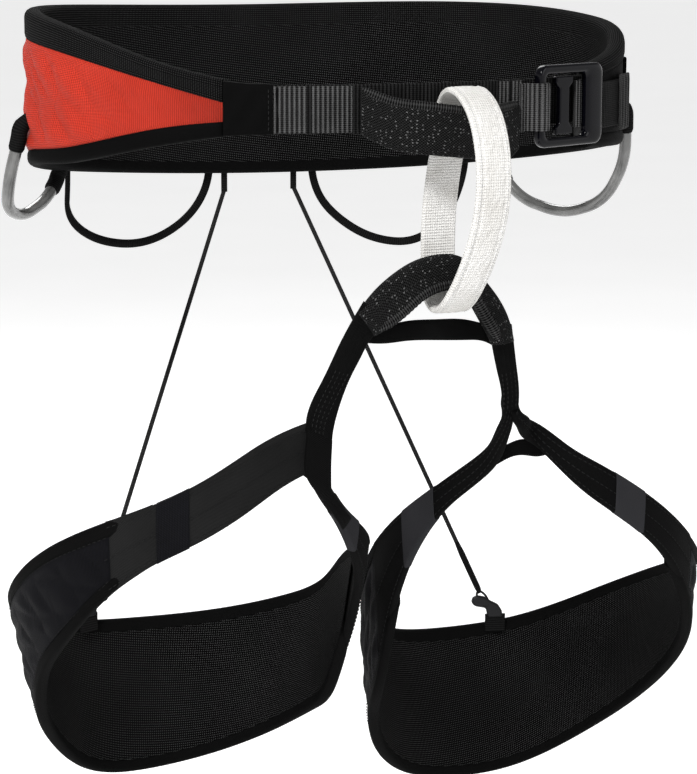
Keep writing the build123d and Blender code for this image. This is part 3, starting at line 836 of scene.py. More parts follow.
def ribbed(name, low, high, pitch, bump=0.3, roughness=0.75, cross=0.9):
    """Webbing with ribs across its length and fine threads along it."""
    n = Nodes(name, high, roughness, 0.0, 0.04)
    u, v = n.uv()
    ribs = n.wave(u, pitch)
    threads = n.wave(v, cross)
    height = n.math("MULTIPLY_ADD", threads, 0.35, n.math("MULTIPLY", ribs, 0.65))
    shade = n.ramp(height, low, high, 0.2, 0.85)
    slow = n.noise(60.0)
    tone = n.ramp(slow, grey(0.7), grey(1.0), 0.3, 0.7)
    n.colour(n.mix(1.0, shade, tone, "MULTIPLY"))
    n.roughness(slow, roughness - 0.1, roughness + 0.12)
    n.bump(height, bump)
    n.bump(n.noise(2500.0, 2.0), 0.05)
    return n


def speckled(name):
    """Coarse abrasion-resistant weave with rows of pale flecks, used on the sleeves."""
    n = Nodes(name, (0.01, 0.01, 0.011), 0.75, specular=0.05)
    threads = n.weave(1.5, 0.0, 0.8)
    shade = n.ramp(threads, grey(0.001), grey(0.022), 0.3, 0.9)
    stretch = n.tree.nodes.new("ShaderNodeMapping")
    stretch.inputs["Scale"].default_value = (430.0, 640.0, 0.0)
    cells = n.tree.nodes.new("ShaderNodeTexVoronoi")
    cells.voronoi_dimensions = "2D"
    cells.inputs["Scale"].default_value = 1.0
    cells.inputs["Randomness"].default_value = 0.45
    n.tree.links.new(n.coordinates.outputs["UV"], stretch.inputs["Vector"])
    n.tree.links.new(stretch.outputs["Vector"], cells.inputs["Vector"])
    near = n.math("LESS_THAN", cells.outputs["Distance"], 0.19)
    patchy = n.math("GREATER_THAN", n.noise(380.0), 0.54)
    fleck = n.math("MULTIPLY", near, patchy)
    pale = n.ramp(fleck, grey(0.0), grey(0.11))
    n.colour(n.mix(1.0, shade, pale, "ADD"))
    n.roughness(n.noise(50.0), 0.65, 0.9)
    n.bump(threads, 0.45)
    n.bump(fleck, 0.2)
    return n


def plain_gloss(name, base, roughness, coat=0.0, metallic=0.0, specular=0.5):
    """Hard smooth surface with fine scratches and handling marks."""
    n = Nodes(name, base, roughness, 0.0, specular, coat)
    n.shader.inputs["Metallic"].default_value = metallic
    marks = n.noise(90.0, 5.0)
    scratches = n.noise(400.0, 2.0, (1.0, 1.0, 14.0))
    n.roughness(marks, max(0.03, roughness - 0.06), roughness + 0.14)
    dark = tuple(value * 0.7 for value in base)
    n.colour(n.ramp(marks, dark, base, 0.3, 0.7))
    n.bump(scratches, 0.012)
    return n


def build_materials():
    m = {}
    m["mesh"] = woven("liner_mesh", grey(0.0008), grey(0.056), 1.7, 38, bump=0.45, start=0.68)
    m["roll"] = woven("edge_mesh", grey(0.001), grey(0.040), 1.5, 45, bump=0.4, start=0.6)
    m["orange"] = woven("orange_cloth", (0.27, 0.011, 0.004), (0.66, 0.042, 0.018), 1.4, 45,
                        bump=0.5, roughness=0.6, start=0.15, end=0.7, wear=0.15, specular=0.2)
    m["panel"] = woven("leg_cloth", grey(0.001, 1.2), grey(0.010, 1.3), 1.1, 45, bump=0.2,
                       roughness=0.65, specular=0.05)
    m["smooth"] = woven("smooth_cloth", grey(0.001), grey(0.004), 0.5, bump=0.05, roughness=0.7)
    m["tape"] = woven("binding_tape", grey(0.001), grey(0.006), 0.9, aspect=0.8, bump=0.12)
    m["patch"] = woven("grey_patch", grey(0.016, 1.1), grey(0.042, 1.1), 0.8, 45, bump=0.08)
    m["strap"] = woven("strap_cloth", grey(0.0008), grey(0.008), 0.9, aspect=0.7, bump=0.15)
    # a lighter copy of the strap cloth, used only on the right leg's outer strap
    m["lighter_strap"] = woven("lighter_strap_cloth", grey(0.004), grey(0.026), 0.9, aspect=0.7, bump=0.12)
    m["webbing"] = ribbed("black_webbing", grey(0.001), grey(0.022), 1.8)
    m["bartack"] = ribbed("bar_tack", grey(0.004), grey(0.10), 2.2, 0.5)
    m["welt"] = ribbed("folded_edge", grey(0.001), grey(0.055), 1.2, 0.5, cross=2.4)
    m["sleeve"] = speckled("sleeve_cloth")
    m["white"] = white_webbing()
    m["metal"] = plain_gloss("buckle_metal", (0.0015, 0.0015, 0.003), 0.11, 0.04, 0.0, 0.16)
    m["plastic"] = plain_gloss("hook_plastic", (0.006, 0.006, 0.007), 0.42, specular=0.2)
    m["tube"] = tube_plastic()
    m["cord"] = ribbed("cord_cloth", grey(0.002), grey(0.012), 1.2, 0.15, 0.75, 0.7)
    m["elastic"] = ribbed("elastic_cord", grey(0.006), grey(0.03), 0.9, 0.12, 0.75, 0.6)
    m["thread"] = woven("thread", grey(0.008), grey(0.03), 0.4, bump=0.02)
    m["pale_thread"] = woven("pale_thread", grey(0.5), grey(0.75), 0.4, bump=0.02)
    m["foam"] = woven("foam", grey(0.05), grey(0.08), 0.7, 20, bump=0.1, roughness=0.9)
    return {key: value.material for key, value in m.items()}


def white_webbing():
    """Thick white webbing: cross threads of uneven tone between two denser edges; the grey lines
    between the raised rows are partly painted shade.
    """
    n = Nodes("white_webbing", (0.72, 0.71, 0.69), 0.6, specular=0.2)
    u, v = n.uv()
    wobble = n.math("MULTIPLY_ADD", n.noise(500.0), 0.0006, u)
    rows = n.wave(wobble, 1.3)
    threads = n.wave(v, 1.15)
    height = n.math("MULTIPLY_ADD", threads, 0.35, n.math("MULTIPLY", rows, 0.65))
    # partly painted shade: the grooves between the raised rows are darkened in the colour, beside the
    # real bump
    shade = n.ramp(height, (0.60, 0.59, 0.57), (0.74, 0.73, 0.71), 0.05, 0.7)
    slow = n.noise(70.0, 5.0)
    soil = n.ramp(slow, (0.84, 0.83, 0.81), (1.0, 1.0, 1.0), 0.3, 0.62)
    n.colour(n.mix(1.0, shade, soil, "MULTIPLY"))
    n.roughness(slow, 0.5, 0.72)
    n.bump(height, 0.35)
    n.bump(n.noise(420.0, 3.0), 0.35)
    return n


def tube_plastic():
    n = Nodes("tube_plastic", (0.16, 0.16, 0.16), 0.12, specular=0.5, coat=1.0)
    n.shader.inputs["Transmission Weight"].default_value = 0.2
    n.shader.inputs["IOR"].default_value = 1.45
    haze = n.noise(70.0, 4.0)
    n.colour(n.ramp(haze, (0.07, 0.07, 0.068), (0.19, 0.19, 0.185), 0.3, 0.7))
    n.roughness(haze, 0.1, 0.26)
    n.bump(n.noise(300.0, 2.0), 0.03)
    return n


MATERIALS = build_materials()


def finish_piece(piece, body, slot, *nodes):
    """Rides the piece on its body and hides the solids that it stands for; the slot is not used."""
    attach(piece, body)
    if nodes:
        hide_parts(*nodes)
    return piece


# ---------------------------------------------------------------- waist belt
PANEL_SEAMS = (-149.2, -209.2, -295.2)
EVEN = -80.0                   # a fade that starts this far before the panel isn't seen
# from and to round the belt, material, slot, solid, seed and height of the folds, part of the
# simulated swell that is kept, and where the folds fade in
PANELS = {
    "orange_panel_right": (-36.6, -149.0, "orange", "orange_fabric", "waist_outer_panel_right",
                           7, 3.8, 1.0, 38.0),
    "lumbar_panel": (-149.4, -209.0, "smooth", "black_fabric", "waist_lumbar_panel",
                     3, 1.0, 1.0, EVEN),
    "orange_panel_left": (-209.4, -295.0, "orange", "orange_fabric", "waist_outer_panel_left",
                          11, 3.8, 1.0, EVEN),
    "side_plate": (-295.4, -322.0, "smooth", "black_fabric", "buckle_side_plate",
                   5, 1.0, 0.5, EVEN),
}


def embossed(length, seed, height, size=17.0, fade_from=EVEN):
    """Soft embossed folds; they fade in over a stretch from fade_from on."""
    grid_u = np.linspace(0, length, 260)
    grid_v = np.linspace(0, 92, 60)
    uu, vv = np.meshgrid(grid_u, grid_v, indexing="ij")
    folds = facets(uu * 0.8 + vv * 0.5, vv + uu * 0.25 + 10, size, seed)

    def relief(along, across, width):
        i = int(np.clip(along / length, 0, 1) * 259)
        fade = 0.3 + 0.7 * np.clip((along - fade_from) / 55.0, 0, 1)
        return (np.interp(across, grid_v, folds[i]) - 0.4) * height * fade

    return relief


def waist_pad():
    m = MATERIALS
    edges, roll, tape = belt_table(220)
    liner = ribbon("belt_liner", trimmed(edges, 4, 4), -BELT_THICKNESS, -BELT_THICKNESS + 1.2,
                   m["mesh"], 0.5, flat_points=14, back_crown=0.5)
    finish_piece(liner, "waist", "black_mesh", "waist_inner_mesh")
    foam = ribbon("belt_foam", trimmed(edges, 5, 5), -BELT_THICKNESS + 1.4, -1.4, m["foam"], 1.0)
    finish_piece(foam, "waist", "foam", "waist_foam_core")
    top = ribbon("belt_top_roll", strip_at_edge(edges, True, roll), -BELT_THICKNESS - 0.3, 0.5,
                 m["roll"], 3.6, flat_points=5, ends=4.0)
    finish_piece(top, "waist", "black_binding", "waist_top_binding")
    bottom = ribbon("belt_bottom_tape", strip_at_edge(edges, False, tape), -BELT_THICKNESS - 0.2, 0.4,
                    m["smooth"], 3.4, flat_points=5, ends=4.0)
    finish_piece(bottom, "waist", "black_binding", "waist_bottom_binding")
    for name, (start, end, look, slot, node, seed, height, swell, fade_from) in PANELS.items():
        part, part_roll, part_tape = belt_table(160, start, end)
        inner = trimmed(part, part_roll - TUCK, part_tape - TUCK)
        relief = embossed(260.0, seed, height, fade_from=fade_from)
        panel = cover(name, inner, m[look], relief, swell)
        finish_piece(panel, "waist", slot, node)
    for k, angle in enumerate(PANEL_SEAMS):
        part, part_roll, part_tape = belt_table(16, angle + 0.5, angle - 0.5)
        strip = ribbon(f"panel_seam_{k}", trimmed(part, part_roll - TUCK, part_tape - TUCK), -1.6, 1.5,
                       m["tape"], 1.0, flat_points=12)
        finish_piece(strip, "waist", "black_binding")


def folded_edge(name, line, half_width, half_depth):
    """Ribbed roll of folded cloth along a line, tapered away at both ends."""
    count = len(line)
    rings, distance = tube_rings(line, ellipse_outline(half_width, half_depth, 18), (0.0, -1.0, 0.2))
    total = distance[-1]
    for i in range(count):
        end = min(distance[i], total - distance[i])
        scale = np.interp(end, [0, 2.0, 7.0], [0.25, 0.75, 1.0])
        ripple = 1 + 0.035 * sin(2 * pi * distance[i] / 2.4)
        rings[i] = line[i] + (rings[i] - line[i]) * scale * ripple
    return loft(name, rings, distance, MATERIALS["welt"])


# where bar tacks start and end, in degrees round the belt
BAR_TACKS = ((-28.4, -22.5), (-21.6, -14.6), (13.6, 15.6), (16.6, 19.0))


def waist_front():
    m = MATERIALS
    half = WEBBING_WIDTH / 2
    tab_edges = ring_strip(-37.6, -27.5, 0.0, 0.0, 60)
    spread = np.linspace(0, 1, 60)
    tab_edges[:, 2] = np.interp(spread, [0, 0.4, 1], [half + 1.8, half + 0.8, half + 0.3])
    tab_edges[:, 5] = -np.interp(spread, [0, 0.4, 1], [half + 0.9, half + 0.4, half + 0.2])
    tab = ribbon("front_tab", tab_edges, -5.0, 0.1, m["smooth"], 1.6, crown=0.3, flat_points=16,
                 relief=lambda along, across, width: 0.25 * np.sin(along * 0.55 + across * 0.35))
    finish_piece(tab, "waist", "black_fabric", "front_tab_right")
    rows = [offset_line(tab_edges[spot:spot + 2], 0.0, 0.0) for spot in (49, 54)]
    lines = [np.linspace(row[0] - [0, 0, 1.5], row[0] - [0, 0, 21.0], 30) for row in rows]
    lines = [line + unit_rows(line * [1, 1, 0]) * 0.7 for line in lines]
    thread = stitches("tab_stitching", lines, m["thread"], 1.6, 0.8, 0.25)
    finish_piece(thread, "waist", "black_fabric")
    webbing = ribbon("front_webbing", ring_strip(-28.5, 37.6, half, -half, 500), -2.4, 0.0,
                     m["webbing"], 0.7, flat_points=12,
                     relief=lambda along, across, width: 0.18 * sin(2 * pi * along / 2.2))
    finish_piece(webbing, "waist", "black_webbing", "waist_webbing")
    for k, (start, end) in enumerate(BAR_TACKS):
        block = ribbon(f"bar_tack_{k}", ring_strip(start, end, half - 0.6, -half + 0.6, 140), 0.0,
                       0.35, m["bartack"], 0.2, flat_points=12,
                       relief=lambda along, across, width: 0.3 * sin(2 * pi * along / 2.2))
        finish_piece(block, "waist", "black_webbing")
    rows = np.array([(x, y, top, x, y, low) for x, y, top, low in TIE_IN_SLEEVE])
    sleeve_edges = smooth(rows, 260)
    sleeve = ribbon("tie_in_wrap", sleeve_edges, -2.5, 2.5, m["sleeve"], 2.4, crown=0.5,
                    flat_points=14)
    finish_piece(sleeve, "waist", "sleeve_fabric", "tie_in_sleeve")
    seams = [offset_line(sleeve_edges, distance, 2.75) for distance in (2.4, -2.4)]
    seams += [offset_line(sleeve_edges[12:90], distance, 3.0) for distance in (6.5, 10.5, 14.5)]
    thread = stitches("tie_in_stitching", seams, m["thread"], 2.0, 1.2, 0.26)
    finish_piece(thread, "waist", "sleeve_fabric")
    welt = folded_edge("tie_in_folded_edge", offset_line(sleeve_edges, 1.3, 1.7), 2.0, 1.6)
    finish_piece(welt, "waist", "sleeve_fabric")
    tail = ribbon("webbing_tail_strap", ring_strip(42.0, 72.0, 7.0, -15.0, 240), 0.3, 2.6,
                  m["webbing"], 0.7, flat_points=12,
                  relief=lambda along, across, width: 0.15 * sin(2 * pi * along / 1.9))
    finish_piece(tail, "waist", "black_webbing", "webbing_tail")
    keeper = ribbon("tail_keeper", ring_strip(52.0, 59.5, 9.5, -17.5, 60), 2.7, 4.0, m["bartack"],
                    0.6, flat_points=10,
                    relief=lambda along, across, width: 0.25 * sin(2 * pi * along / 1.6))
    finish_piece(keeper, "waist", "black_fabric", "elastic_keeper")


BUCKLE_ANGLE = 28.0
BUCKLE_YAW = 21.5
BUCKLE_STANDOFF = 4.4
BUCKLE_HEIGHT = -1.8
BUCKLE_HALF = 19.0
BUCKLE_LIP = 8.0               # the anchored bar is this much wider
WINDOW_HALF = 14.8
# webbing at the buckle: from, to and over the bar at, all along it, and how far it rises
FOLDS = ((-27.0, -9.0, -16.9, 6.9), (9.2, 26.0, 10.5, 2.6))


BAR_PROFILE = [
    (-6.0, 13.5), (6.0, 13.5), (6.0, 10.4), (3.4, 8.2), (3.4, -8.2), (6.0, -10.4),
    (6.0, -13.5), (-6.0, -13.5), (-6.0, -10.4), (-3.4, -8.2), (-3.4, 8.2), (-6.0, 10.4),
]
BUCKLE_DEPTH = 2.3             # half the thickness of the frame
SQUARENESS = 0.55              # of the frame's section; 1 is an ellipse


def buckle_axes():
    turn, yaw = radians(BUCKLE_ANGLE), radians(BUCKLE_YAW)
    out = np.array([sin(yaw), -cos(yaw), 0.0])
    along = np.array([cos(yaw), sin(yaw), 0.0])
    middle = np.array([WAIST_HALF_WIDTH * sin(turn), -WAIST_HALF_DEPTH * cos(turn), BUCKLE_HEIGHT])
    return middle + out * BUCKLE_STANDOFF, along, out


def buckle():
    m = MATERIALS
    middle, along, out = buckle_axes()
    up = np.array([0.0, 0.0, 1.0])
    outline = rounded_outline(BUCKLE_HALF, -BUCKLE_HALF, BUCKLE_HALF + BUCKLE_LIP, 5.0, 16, 9)
    window = rounded_outline(WINDOW_HALF, -WINDOW_HALF, WINDOW_HALF, 2.5, 16, 9)
    ring_of = []
    for inner, outer in zip(window, outline):
        inner, outer = inner[::-1], outer[::-1]
        reach = np.linalg.norm(outer - inner)
        side = (outer - inner) / reach
        section = []
        for turn in np.linspace(0, 2 * pi, 24, endpoint=False):
            across = np.sign(cos(turn)) * abs(cos(turn)) ** SQUARENESS * reach / 2
            level = np.sign(sin(turn)) * abs(sin(turn)) ** SQUARENESS * BUCKLE_DEPTH
            spot = (inner + outer) / 2 + side * across
            section.append(middle + along * spot[0] + up * spot[1] + out * level)
        ring_of.append(section)
    steps = np.linalg.norm(np.roll(outline, -1, axis=0) - outline, axis=1)
    travel = np.concatenate([[0], np.cumsum(steps)])
    frame_piece = loft("buckle_ring", ring_of, travel, m["metal"], True)
    finish_piece(frame_piece, "buckle_frame", "black_metal", "buckle_frame")
    slider = plate("buckle_bar", BAR_PROFILE, middle - along * 0.5, along, up, out, 1.4, m["metal"])
    finish_piece(slider, "buckle_slider", "black_metal", "buckle_slider")
    half = WEBBING_WIDTH / 2
    for k, (near, far, bar, height) in enumerate(FOLDS):
        rows = []
        for x in np.linspace(near, far, 60):
            lift = height * np.exp(-((x - bar) / 4.6) ** 4)
            point = middle + along * x + out * (lift - 3.6)
            rows.append((*(point + up * half), *(point - up * half)))
        fold = ribbon(f"buckle_fold_{k}", np.array(rows), -0.8, 0.8, m["bartack"], 0.5,
                      flat_points=10,
                      relief=lambda along_, across, width: 0.25 * sin(2 * pi * along_ / 2.0))
        nodes = ("buckle_anchor_webbing",) if k else ()
        finish_piece(fold, "waist", "black_webbing", *nodes)


def plate(name, profile, origin, x_axis, y_axis, z_axis, half, material, bevel=0.8):
    """Flat plate of a profile in millimetres, with rounded edges."""
    count = len(profile)
    vertices = []
    for level in (-half, half):
        for x, y in profile:
            vertices.append(origin + x_axis * x + y_axis * y + z_axis * level)
    faces = [list(range(count))[::-1], [count + i for i in range(count)]]
    for i in range(count):
        k = (i + 1) % count
        faces.append((i, k, count + k, count + i))
    uvs = []
    for face in faces:
        for index in face:
            x, y = profile[index % count]
            uvs.append((x, y + (2.0 if index >= count else 0.0)))
    piece = new_mesh(name, vertices, faces, uvs, material)
    recalc(piece)
    rounding = piece.modifiers.new("rounding", "BEVEL")
    rounding.width = bevel * MM
    rounding.segments = 4
    rounding.limit_method = "ANGLE"
    piece.modifiers.new("normals", "WEIGHTED_NORMAL")
    return piece


# ---------------------------------------------------------------- belay loop and bridge
def piped_edges(along, across, width):
    """Grooves just inside both edges, and slight unevenness along the webbing."""
    inner = np.minimum(across, width - across)
    groove = -GROOVE_DEPTH * np.exp(-((inner - GROOVE_PLACE) / GROOVE_WIDTH) ** 2)
    return groove + 0.12 * np.sin(along * 0.9 + across * 1.7) * np.sin(along * 0.23)


def belay_loop():
    m = MATERIALS
    centre = smooth_closed(BELAY_LOOP, 260)[:-1]
    half = BELAY_WIDTH / 2
    rows = np.stack([centre[:, 0] - half, centre[:, 1], centre[:, 2],
                     centre[:, 0] + half, centre[:, 1], centre[:, 2]], axis=1)
    loop = ribbon("belay_webbing", rows, -BELAY_THICKNESS / 2, BELAY_THICKNESS / 2, m["white"], 1.1,
                  crown=0.35, back_crown=0.2, centre=BELAY_MIDDLE, flat_points=28, closed=True,
                  relief=piped_edges)
    finish_piece(loop, "belay_loop", "white_webbing", "belay_loop")
    closed_rows = np.concatenate([rows, rows[:1]])
    lift = BELAY_THICKNESS / 2 + 0.18
    lines = [offset_line(closed_rows, place, lift, BELAY_MIDDLE) for place in (1.9, -1.9)]
    thread = stitches("belay_stitching", lines, m["pale_thread"], 1.8, 0.9, 0.2)
    finish_piece(thread, "belay_loop", "white_webbing")


def bridge():
    m = MATERIALS
    table = np.array([(x0, BRIDGE_Y, z0, x1, BRIDGE_Y, z1) for x0, z0, x1, z1 in BRIDGE_SLEEVE])
    edges = smooth(table, 260)
    wrap = ribbon("bridge_wrap", edges, -4.4, 4.4, m["sleeve"], 4.0, crown=0.3, back_crown=0.3,
                  centre=BRIDGE_INSIDE, flat_points=8)
    finish_piece(wrap, "leg_assembly", "sleeve_fabric", "bridge_sleeve_front",
                 "bridge_sleeve_back", "bridge_webbing")
    lines = [offset_line(edges[3:-3], place, 4.85, BRIDGE_INSIDE) for place in (4.2, 8.0, -4.2)]
    thread = stitches("bridge_stitching", lines, m["thread"], 2.2, 1.2, 0.28)
    finish_piece(thread, "leg_assembly", "sleeve_fabric")
    line = offset_line(edges[4:-4], -3.4, 2.2, BRIDGE_INSIDE)
    welt = folded_edge("bridge_folded_edge", line, 3.2, 3.0)
    finish_piece(welt, "leg_assembly", "sleeve_fabric")
    bar = np.array([(x0, CROSSBAR_Y, z0, x1, CROSSBAR_Y, z1) for x0, z0, x1, z1 in CROSSBAR])
    strap = ribbon("crossbar_webbing", smooth(bar, 90), -1.4, 1.4, m["strap"], 1.0, crown=0.4,
                   centre=BRIDGE_INSIDE)
    finish_piece(strap, "leg_assembly", "black_webbing", "crossbar_strap")


# ---------------------------------------------------------------- leg loops
def leg_loop(name):
    m = MATERIALS
    leg = LEG[name]
    side = SIDES[name]
    body = f"leg_loop_{name}"
    centre = (side * leg["centre_x"], LEG_CENTRE_Y, -250.0)
    pad = smooth(leg_points(name, leg["pad"]), 200)
    longer = [leg["outer_strap"][-2], *leg["pad"], leg["inner_strap"][1]]
    sewn_on = smooth(leg_points(name, longer), 220)
    liner = ribbon(f"leg_liner_{name}", trimmed(sewn_on, 4, 4), -LEG_THICKNESS, -LEG_THICKNESS + 1.0,
                   m["mesh"], 0.4, centre=centre, flat_points=14, back_crown=0.3, ends=16.0)
    finish_piece(liner, body, "black_mesh", f"leg_mesh_{name}")
    foam = ribbon(f"leg_padding_{name}", trimmed(pad, 4.5, 4.5), -LEG_THICKNESS + 1.2, -1.3,
                  m["foam"], 0.8, centre=centre)
    finish_piece(foam, body, "foam", f"leg_foam_{name}")
    outer = cover(f"leg_cover_{name}", trimmed(pad, LEG_BINDING - TUCK, LEG_BINDING - TUCK), m["panel"],
                  embossed(480.0, 21 + side, 2.0, 15.0), 0.8, centre)
    finish_piece(outer, body, "black_mesh", f"leg_panel_{name}")
    for label, at_upper in (("top", True), ("bottom", False)):
        strip = strip_at_edge(sewn_on, at_upper, LEG_BINDING)
        tape = ribbon(f"leg_{label}_tape_{name}", strip, -LEG_THICKNESS - 0.2, 0.3, m["tape"], 2.4,
                      centre=centre, flat_points=5, ends=18.0)
        finish_piece(tape, body, "black_binding", f"leg_{label}_binding_{name}")
    seams = []
    for place in (LEG_BINDING - 1.0, -LEG_BINDING + 1.0):
        seams.append(offset_line(pad, place, 0.5, centre))
        seams.append(offset_line(pad, place, -LEG_THICKNESS - 0.35, centre))
    thread = stitches(f"leg_stitching_{name}", seams, m["thread"], 2.0, 1.0, 0.2)
    finish_piece(thread, body, "black_binding")
    leg_straps(name, centre, body)


def leg_straps(name, centre, body):
    m = MATERIALS
    leg = LEG[name]
    outer = leg["outer_start"] + leg_points(name, leg["outer_strap"])
    inner = leg_points(name, leg["inner_strap"]) + leg["inner_end"]
    outer_edges = smooth(outer, 150)
    inner_edges = smooth(inner, 150)
    for label, edges in (("outer", outer_edges), ("inner", inner_edges)):
        # the right leg's outer strap takes the lighter copy of the strap cloth
        look = "lighter_strap" if label == "outer" and name == "right" else "strap"
        strap = ribbon(f"{label}_strap_webbing_{name}", edges, -4.2, 0.2, m[look], 1.8, crown=0.4,
                       centre=centre, flat_points=10, ends=9.0)
        finish_piece(strap, body, "black_webbing", f"{label}_strap_{name}")
        width = np.linalg.norm(edges[:, 3:] - edges[:, :3], axis=1)
        seams = [offset_line(edges[4:], 2.6, 0.45, centre), offset_line(edges[4:], -2.6, 0.45, centre)]
        middle = trimmed(edges, width / 2 - 0.01, width / 2 - 0.01)
        seams.append(middle[8:, :3] + section_frames(edges, centre)[2][8:] * 0.75)
        thread = stitches(f"{label}_strap_stitching_{name}", seams, m["thread"], 2.0, 1.0, 0.22)
        finish_piece(thread, body, "black_webbing")
    side = SIDES[name]
    for label, table in (("outer", outer), ("inner", inner)):
        start, end = leg[f"{label}_patch"]
        fine = smooth(table, 400)
        x = side * ((fine[:, 0] + fine[:, 3]) / 2 - side * leg["centre_x"])
        y = -((fine[:, 1] + fine[:, 4]) / 2 - LEG_CENTRE_Y)
        angle = np.degrees(np.arctan2(x, y))
        angle = np.where(angle < -100, angle + 360, angle) if start > 180 else angle
        angle = np.where(angle < 0, angle + 360, angle) if start > 180 else angle
        rows = fine[(angle > start) & (angle < end)]
        look = "panel" if label == "outer" and name == "right" else "patch"
        patch = ribbon(f"{label}_patch_{name}", trimmed(rows, -0.2, -0.2), -4.4, 0.75, m[look],
                       1.6, crown=0.3, centre=centre, flat_points=8)
        nodes = (f"join_patch_{name}",) if label == "outer" else ()
        finish_piece(patch, body, "grey_fabric", *nodes)
    gusset = ribbon(f"stretch_gusset_{name}", smooth(leg["gusset"], 60), -6.6, -5.2, m["strap"], 0.6,
                    centre=centre)
    finish_piece(gusset, body, "black_mesh", f"gusset_{name}")
    riser_edges = smooth(leg["riser"], 120)
    riser = ribbon(f"riser_webbing_{name}", riser_edges, -1.8, 1.8, m["strap"], 1.5, crown=0.6,
                   back_crown=0.2, flat_points=12,
                   relief=lambda along, across, width: 0.14 * np.sin(2 * pi * across / 2.1))
    finish_piece(riser, "leg_assembly", "black_webbing", f"leg_riser_{name}")
    rows = [offset_line(riser_edges[60:-3], place, 2.3) for place in (2.5, 4.6, 6.7, 8.8)]
    thread = stitches(f"riser_stitching_{name}", rows, m["thread"], 1.5, 0.9, 0.28)
    finish_piece(thread, "leg_assembly", "black_webbing")
    if name == "right":
        join = ribbon("riser_join_right", smooth(RISER_JOIN, 120), -1.6, 1.4, m["strap"], 1.4,
                      crown=0.5, flat_points=12, ends=12.0,
                      relief=lambda along, across, width: 0.12 * np.sin(2 * pi * across / 2.1))
        finish_piece(join, body, "black_webbing")


HOOK_PROFILE = [
    (-4.2, 2.0), (4.2, 2.0), (5.2, 7.0), (11.5, 8.3), (13.2, 10.5), (12.6, 13.2),
    (9.6, 14.2), (6.0, 13.4), (2.5, 11.0), (-1.5, 9.0), (-3.6, 5.5),
]
CORD_DIAMETER = 2.3
END_SLEEVE = 27.0              # from the eye at the hook to the end of the elastic


def hook_and_elastic(name):
    """Sewn tab and hook on the liner, and the elastic cord that runs up to the belt."""
    m = MATERIALS
    leg = LEG[name]
    side = SIDES[name]
    body = f"leg_loop_{name}"
    turn = radians(leg["hook_angle"])
    radius = 86.0 - LEG_THICKNESS - 2.8
    base = np.array([side * (leg["centre_x"] + sin(turn) * radius),
                     LEG_CENTRE_Y - cos(turn) * radius, leg["edge_top"]])
    yaw = -side * (pi - turn)
    along = np.array([cos(yaw), sin(yaw), 0.0])
    back = np.array([-sin(yaw), cos(yaw), 0.0])
    up = np.array([0.0, 0.0, 1.0])
    tab_rows = []
    for z in np.linspace(3.5, -6.0, 30):
        left = base - along * 5.5 + up * z
        right = base + along * 5.5 + up * z
        tab_rows.append((*left, *right))
    tab = ribbon(f"hook_tab_cloth_{name}", np.array(tab_rows), -0.9, 0.9, m["cord"], 0.6,
                 centre=(side * leg["centre_x"], LEG_CENTRE_Y, -300.0))
    finish_piece(tab, body, "black_cord", f"hook_tab_{name}")
    shape = [(side * -x, y) for x, y in HOOK_PROFILE]
    hook = plate(f"hook_{name}", shape, base, along, up, back, 1.6, m["plastic"], 1.2)
    finish_piece(hook, body, "black_plastic", f"riser_hook_{name}")
    top = np.array(leg["elastic_top"])
    low = base + along * (side * -8.5) + up * 15.6
    direction = (top - low) / np.linalg.norm(top - low)
    start = low + direction * END_SLEEVE
    points = start + (top - start) * np.linspace(0, 1, 40)[:, None]
    rings, distance = tube_rings(points, ellipse_outline(CORD_DIAMETER / 2, CORD_DIAMETER / 2, 14))
    cord = loft(f"elastic_{name}", rings, distance, m["elastic"])
    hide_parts(f"elastic_riser_{name}")
    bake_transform(cord)
    sleeve_points = low + (start + direction * 3.0 - low) * np.linspace(0, 1, 24)[:, None]
    rings, distance = tube_rings(sleeve_points, ellipse_outline(2.2, 1.6, 14))
    for i, scale in enumerate(np.interp(np.linspace(0, 1, 24), [0, 0.1, 0.8, 1], [0.7, 1, 1, 0.72])):
        rings[i] = sleeve_points[i] + (rings[i] - sleeve_points[i]) * scale
    end_sleeve = loft(f"elastic_sleeve_{name}", rings, distance, m["cord"])
    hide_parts(f"riser_end_sleeve_{name}")
    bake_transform(end_sleeve)
    eye = []
    for turn_ in np.linspace(0, 2 * pi, 41)[:-1]:
        eye.append(low - direction * 3.6 + direction * 4.4 * cos(turn_) + along * 2.6 * sin(turn_))
    rings, distance = tube_rings(np.array(eye), ellipse_outline(0.6, 0.6, 10), back)
    loop = loft(f"elastic_eye_{name}", rings, distance, m["elastic"], True)
    finish_piece(loop, body, "elastic_cord")
    anchor_rows = [(top[0] - 1.6, top[1], z, top[0] + 1.6, top[1], z)
                   for z in np.linspace(top[2] - 1.0, top[2] + 15.0, 12)]
    anchor = ribbon(f"elastic_anchor_{name}", np.array(anchor_rows), -1.2, 1.2, m["cord"], 1.0)
    finish_piece(anchor, "waist", "black_cord", f"riser_anchor_{name}")


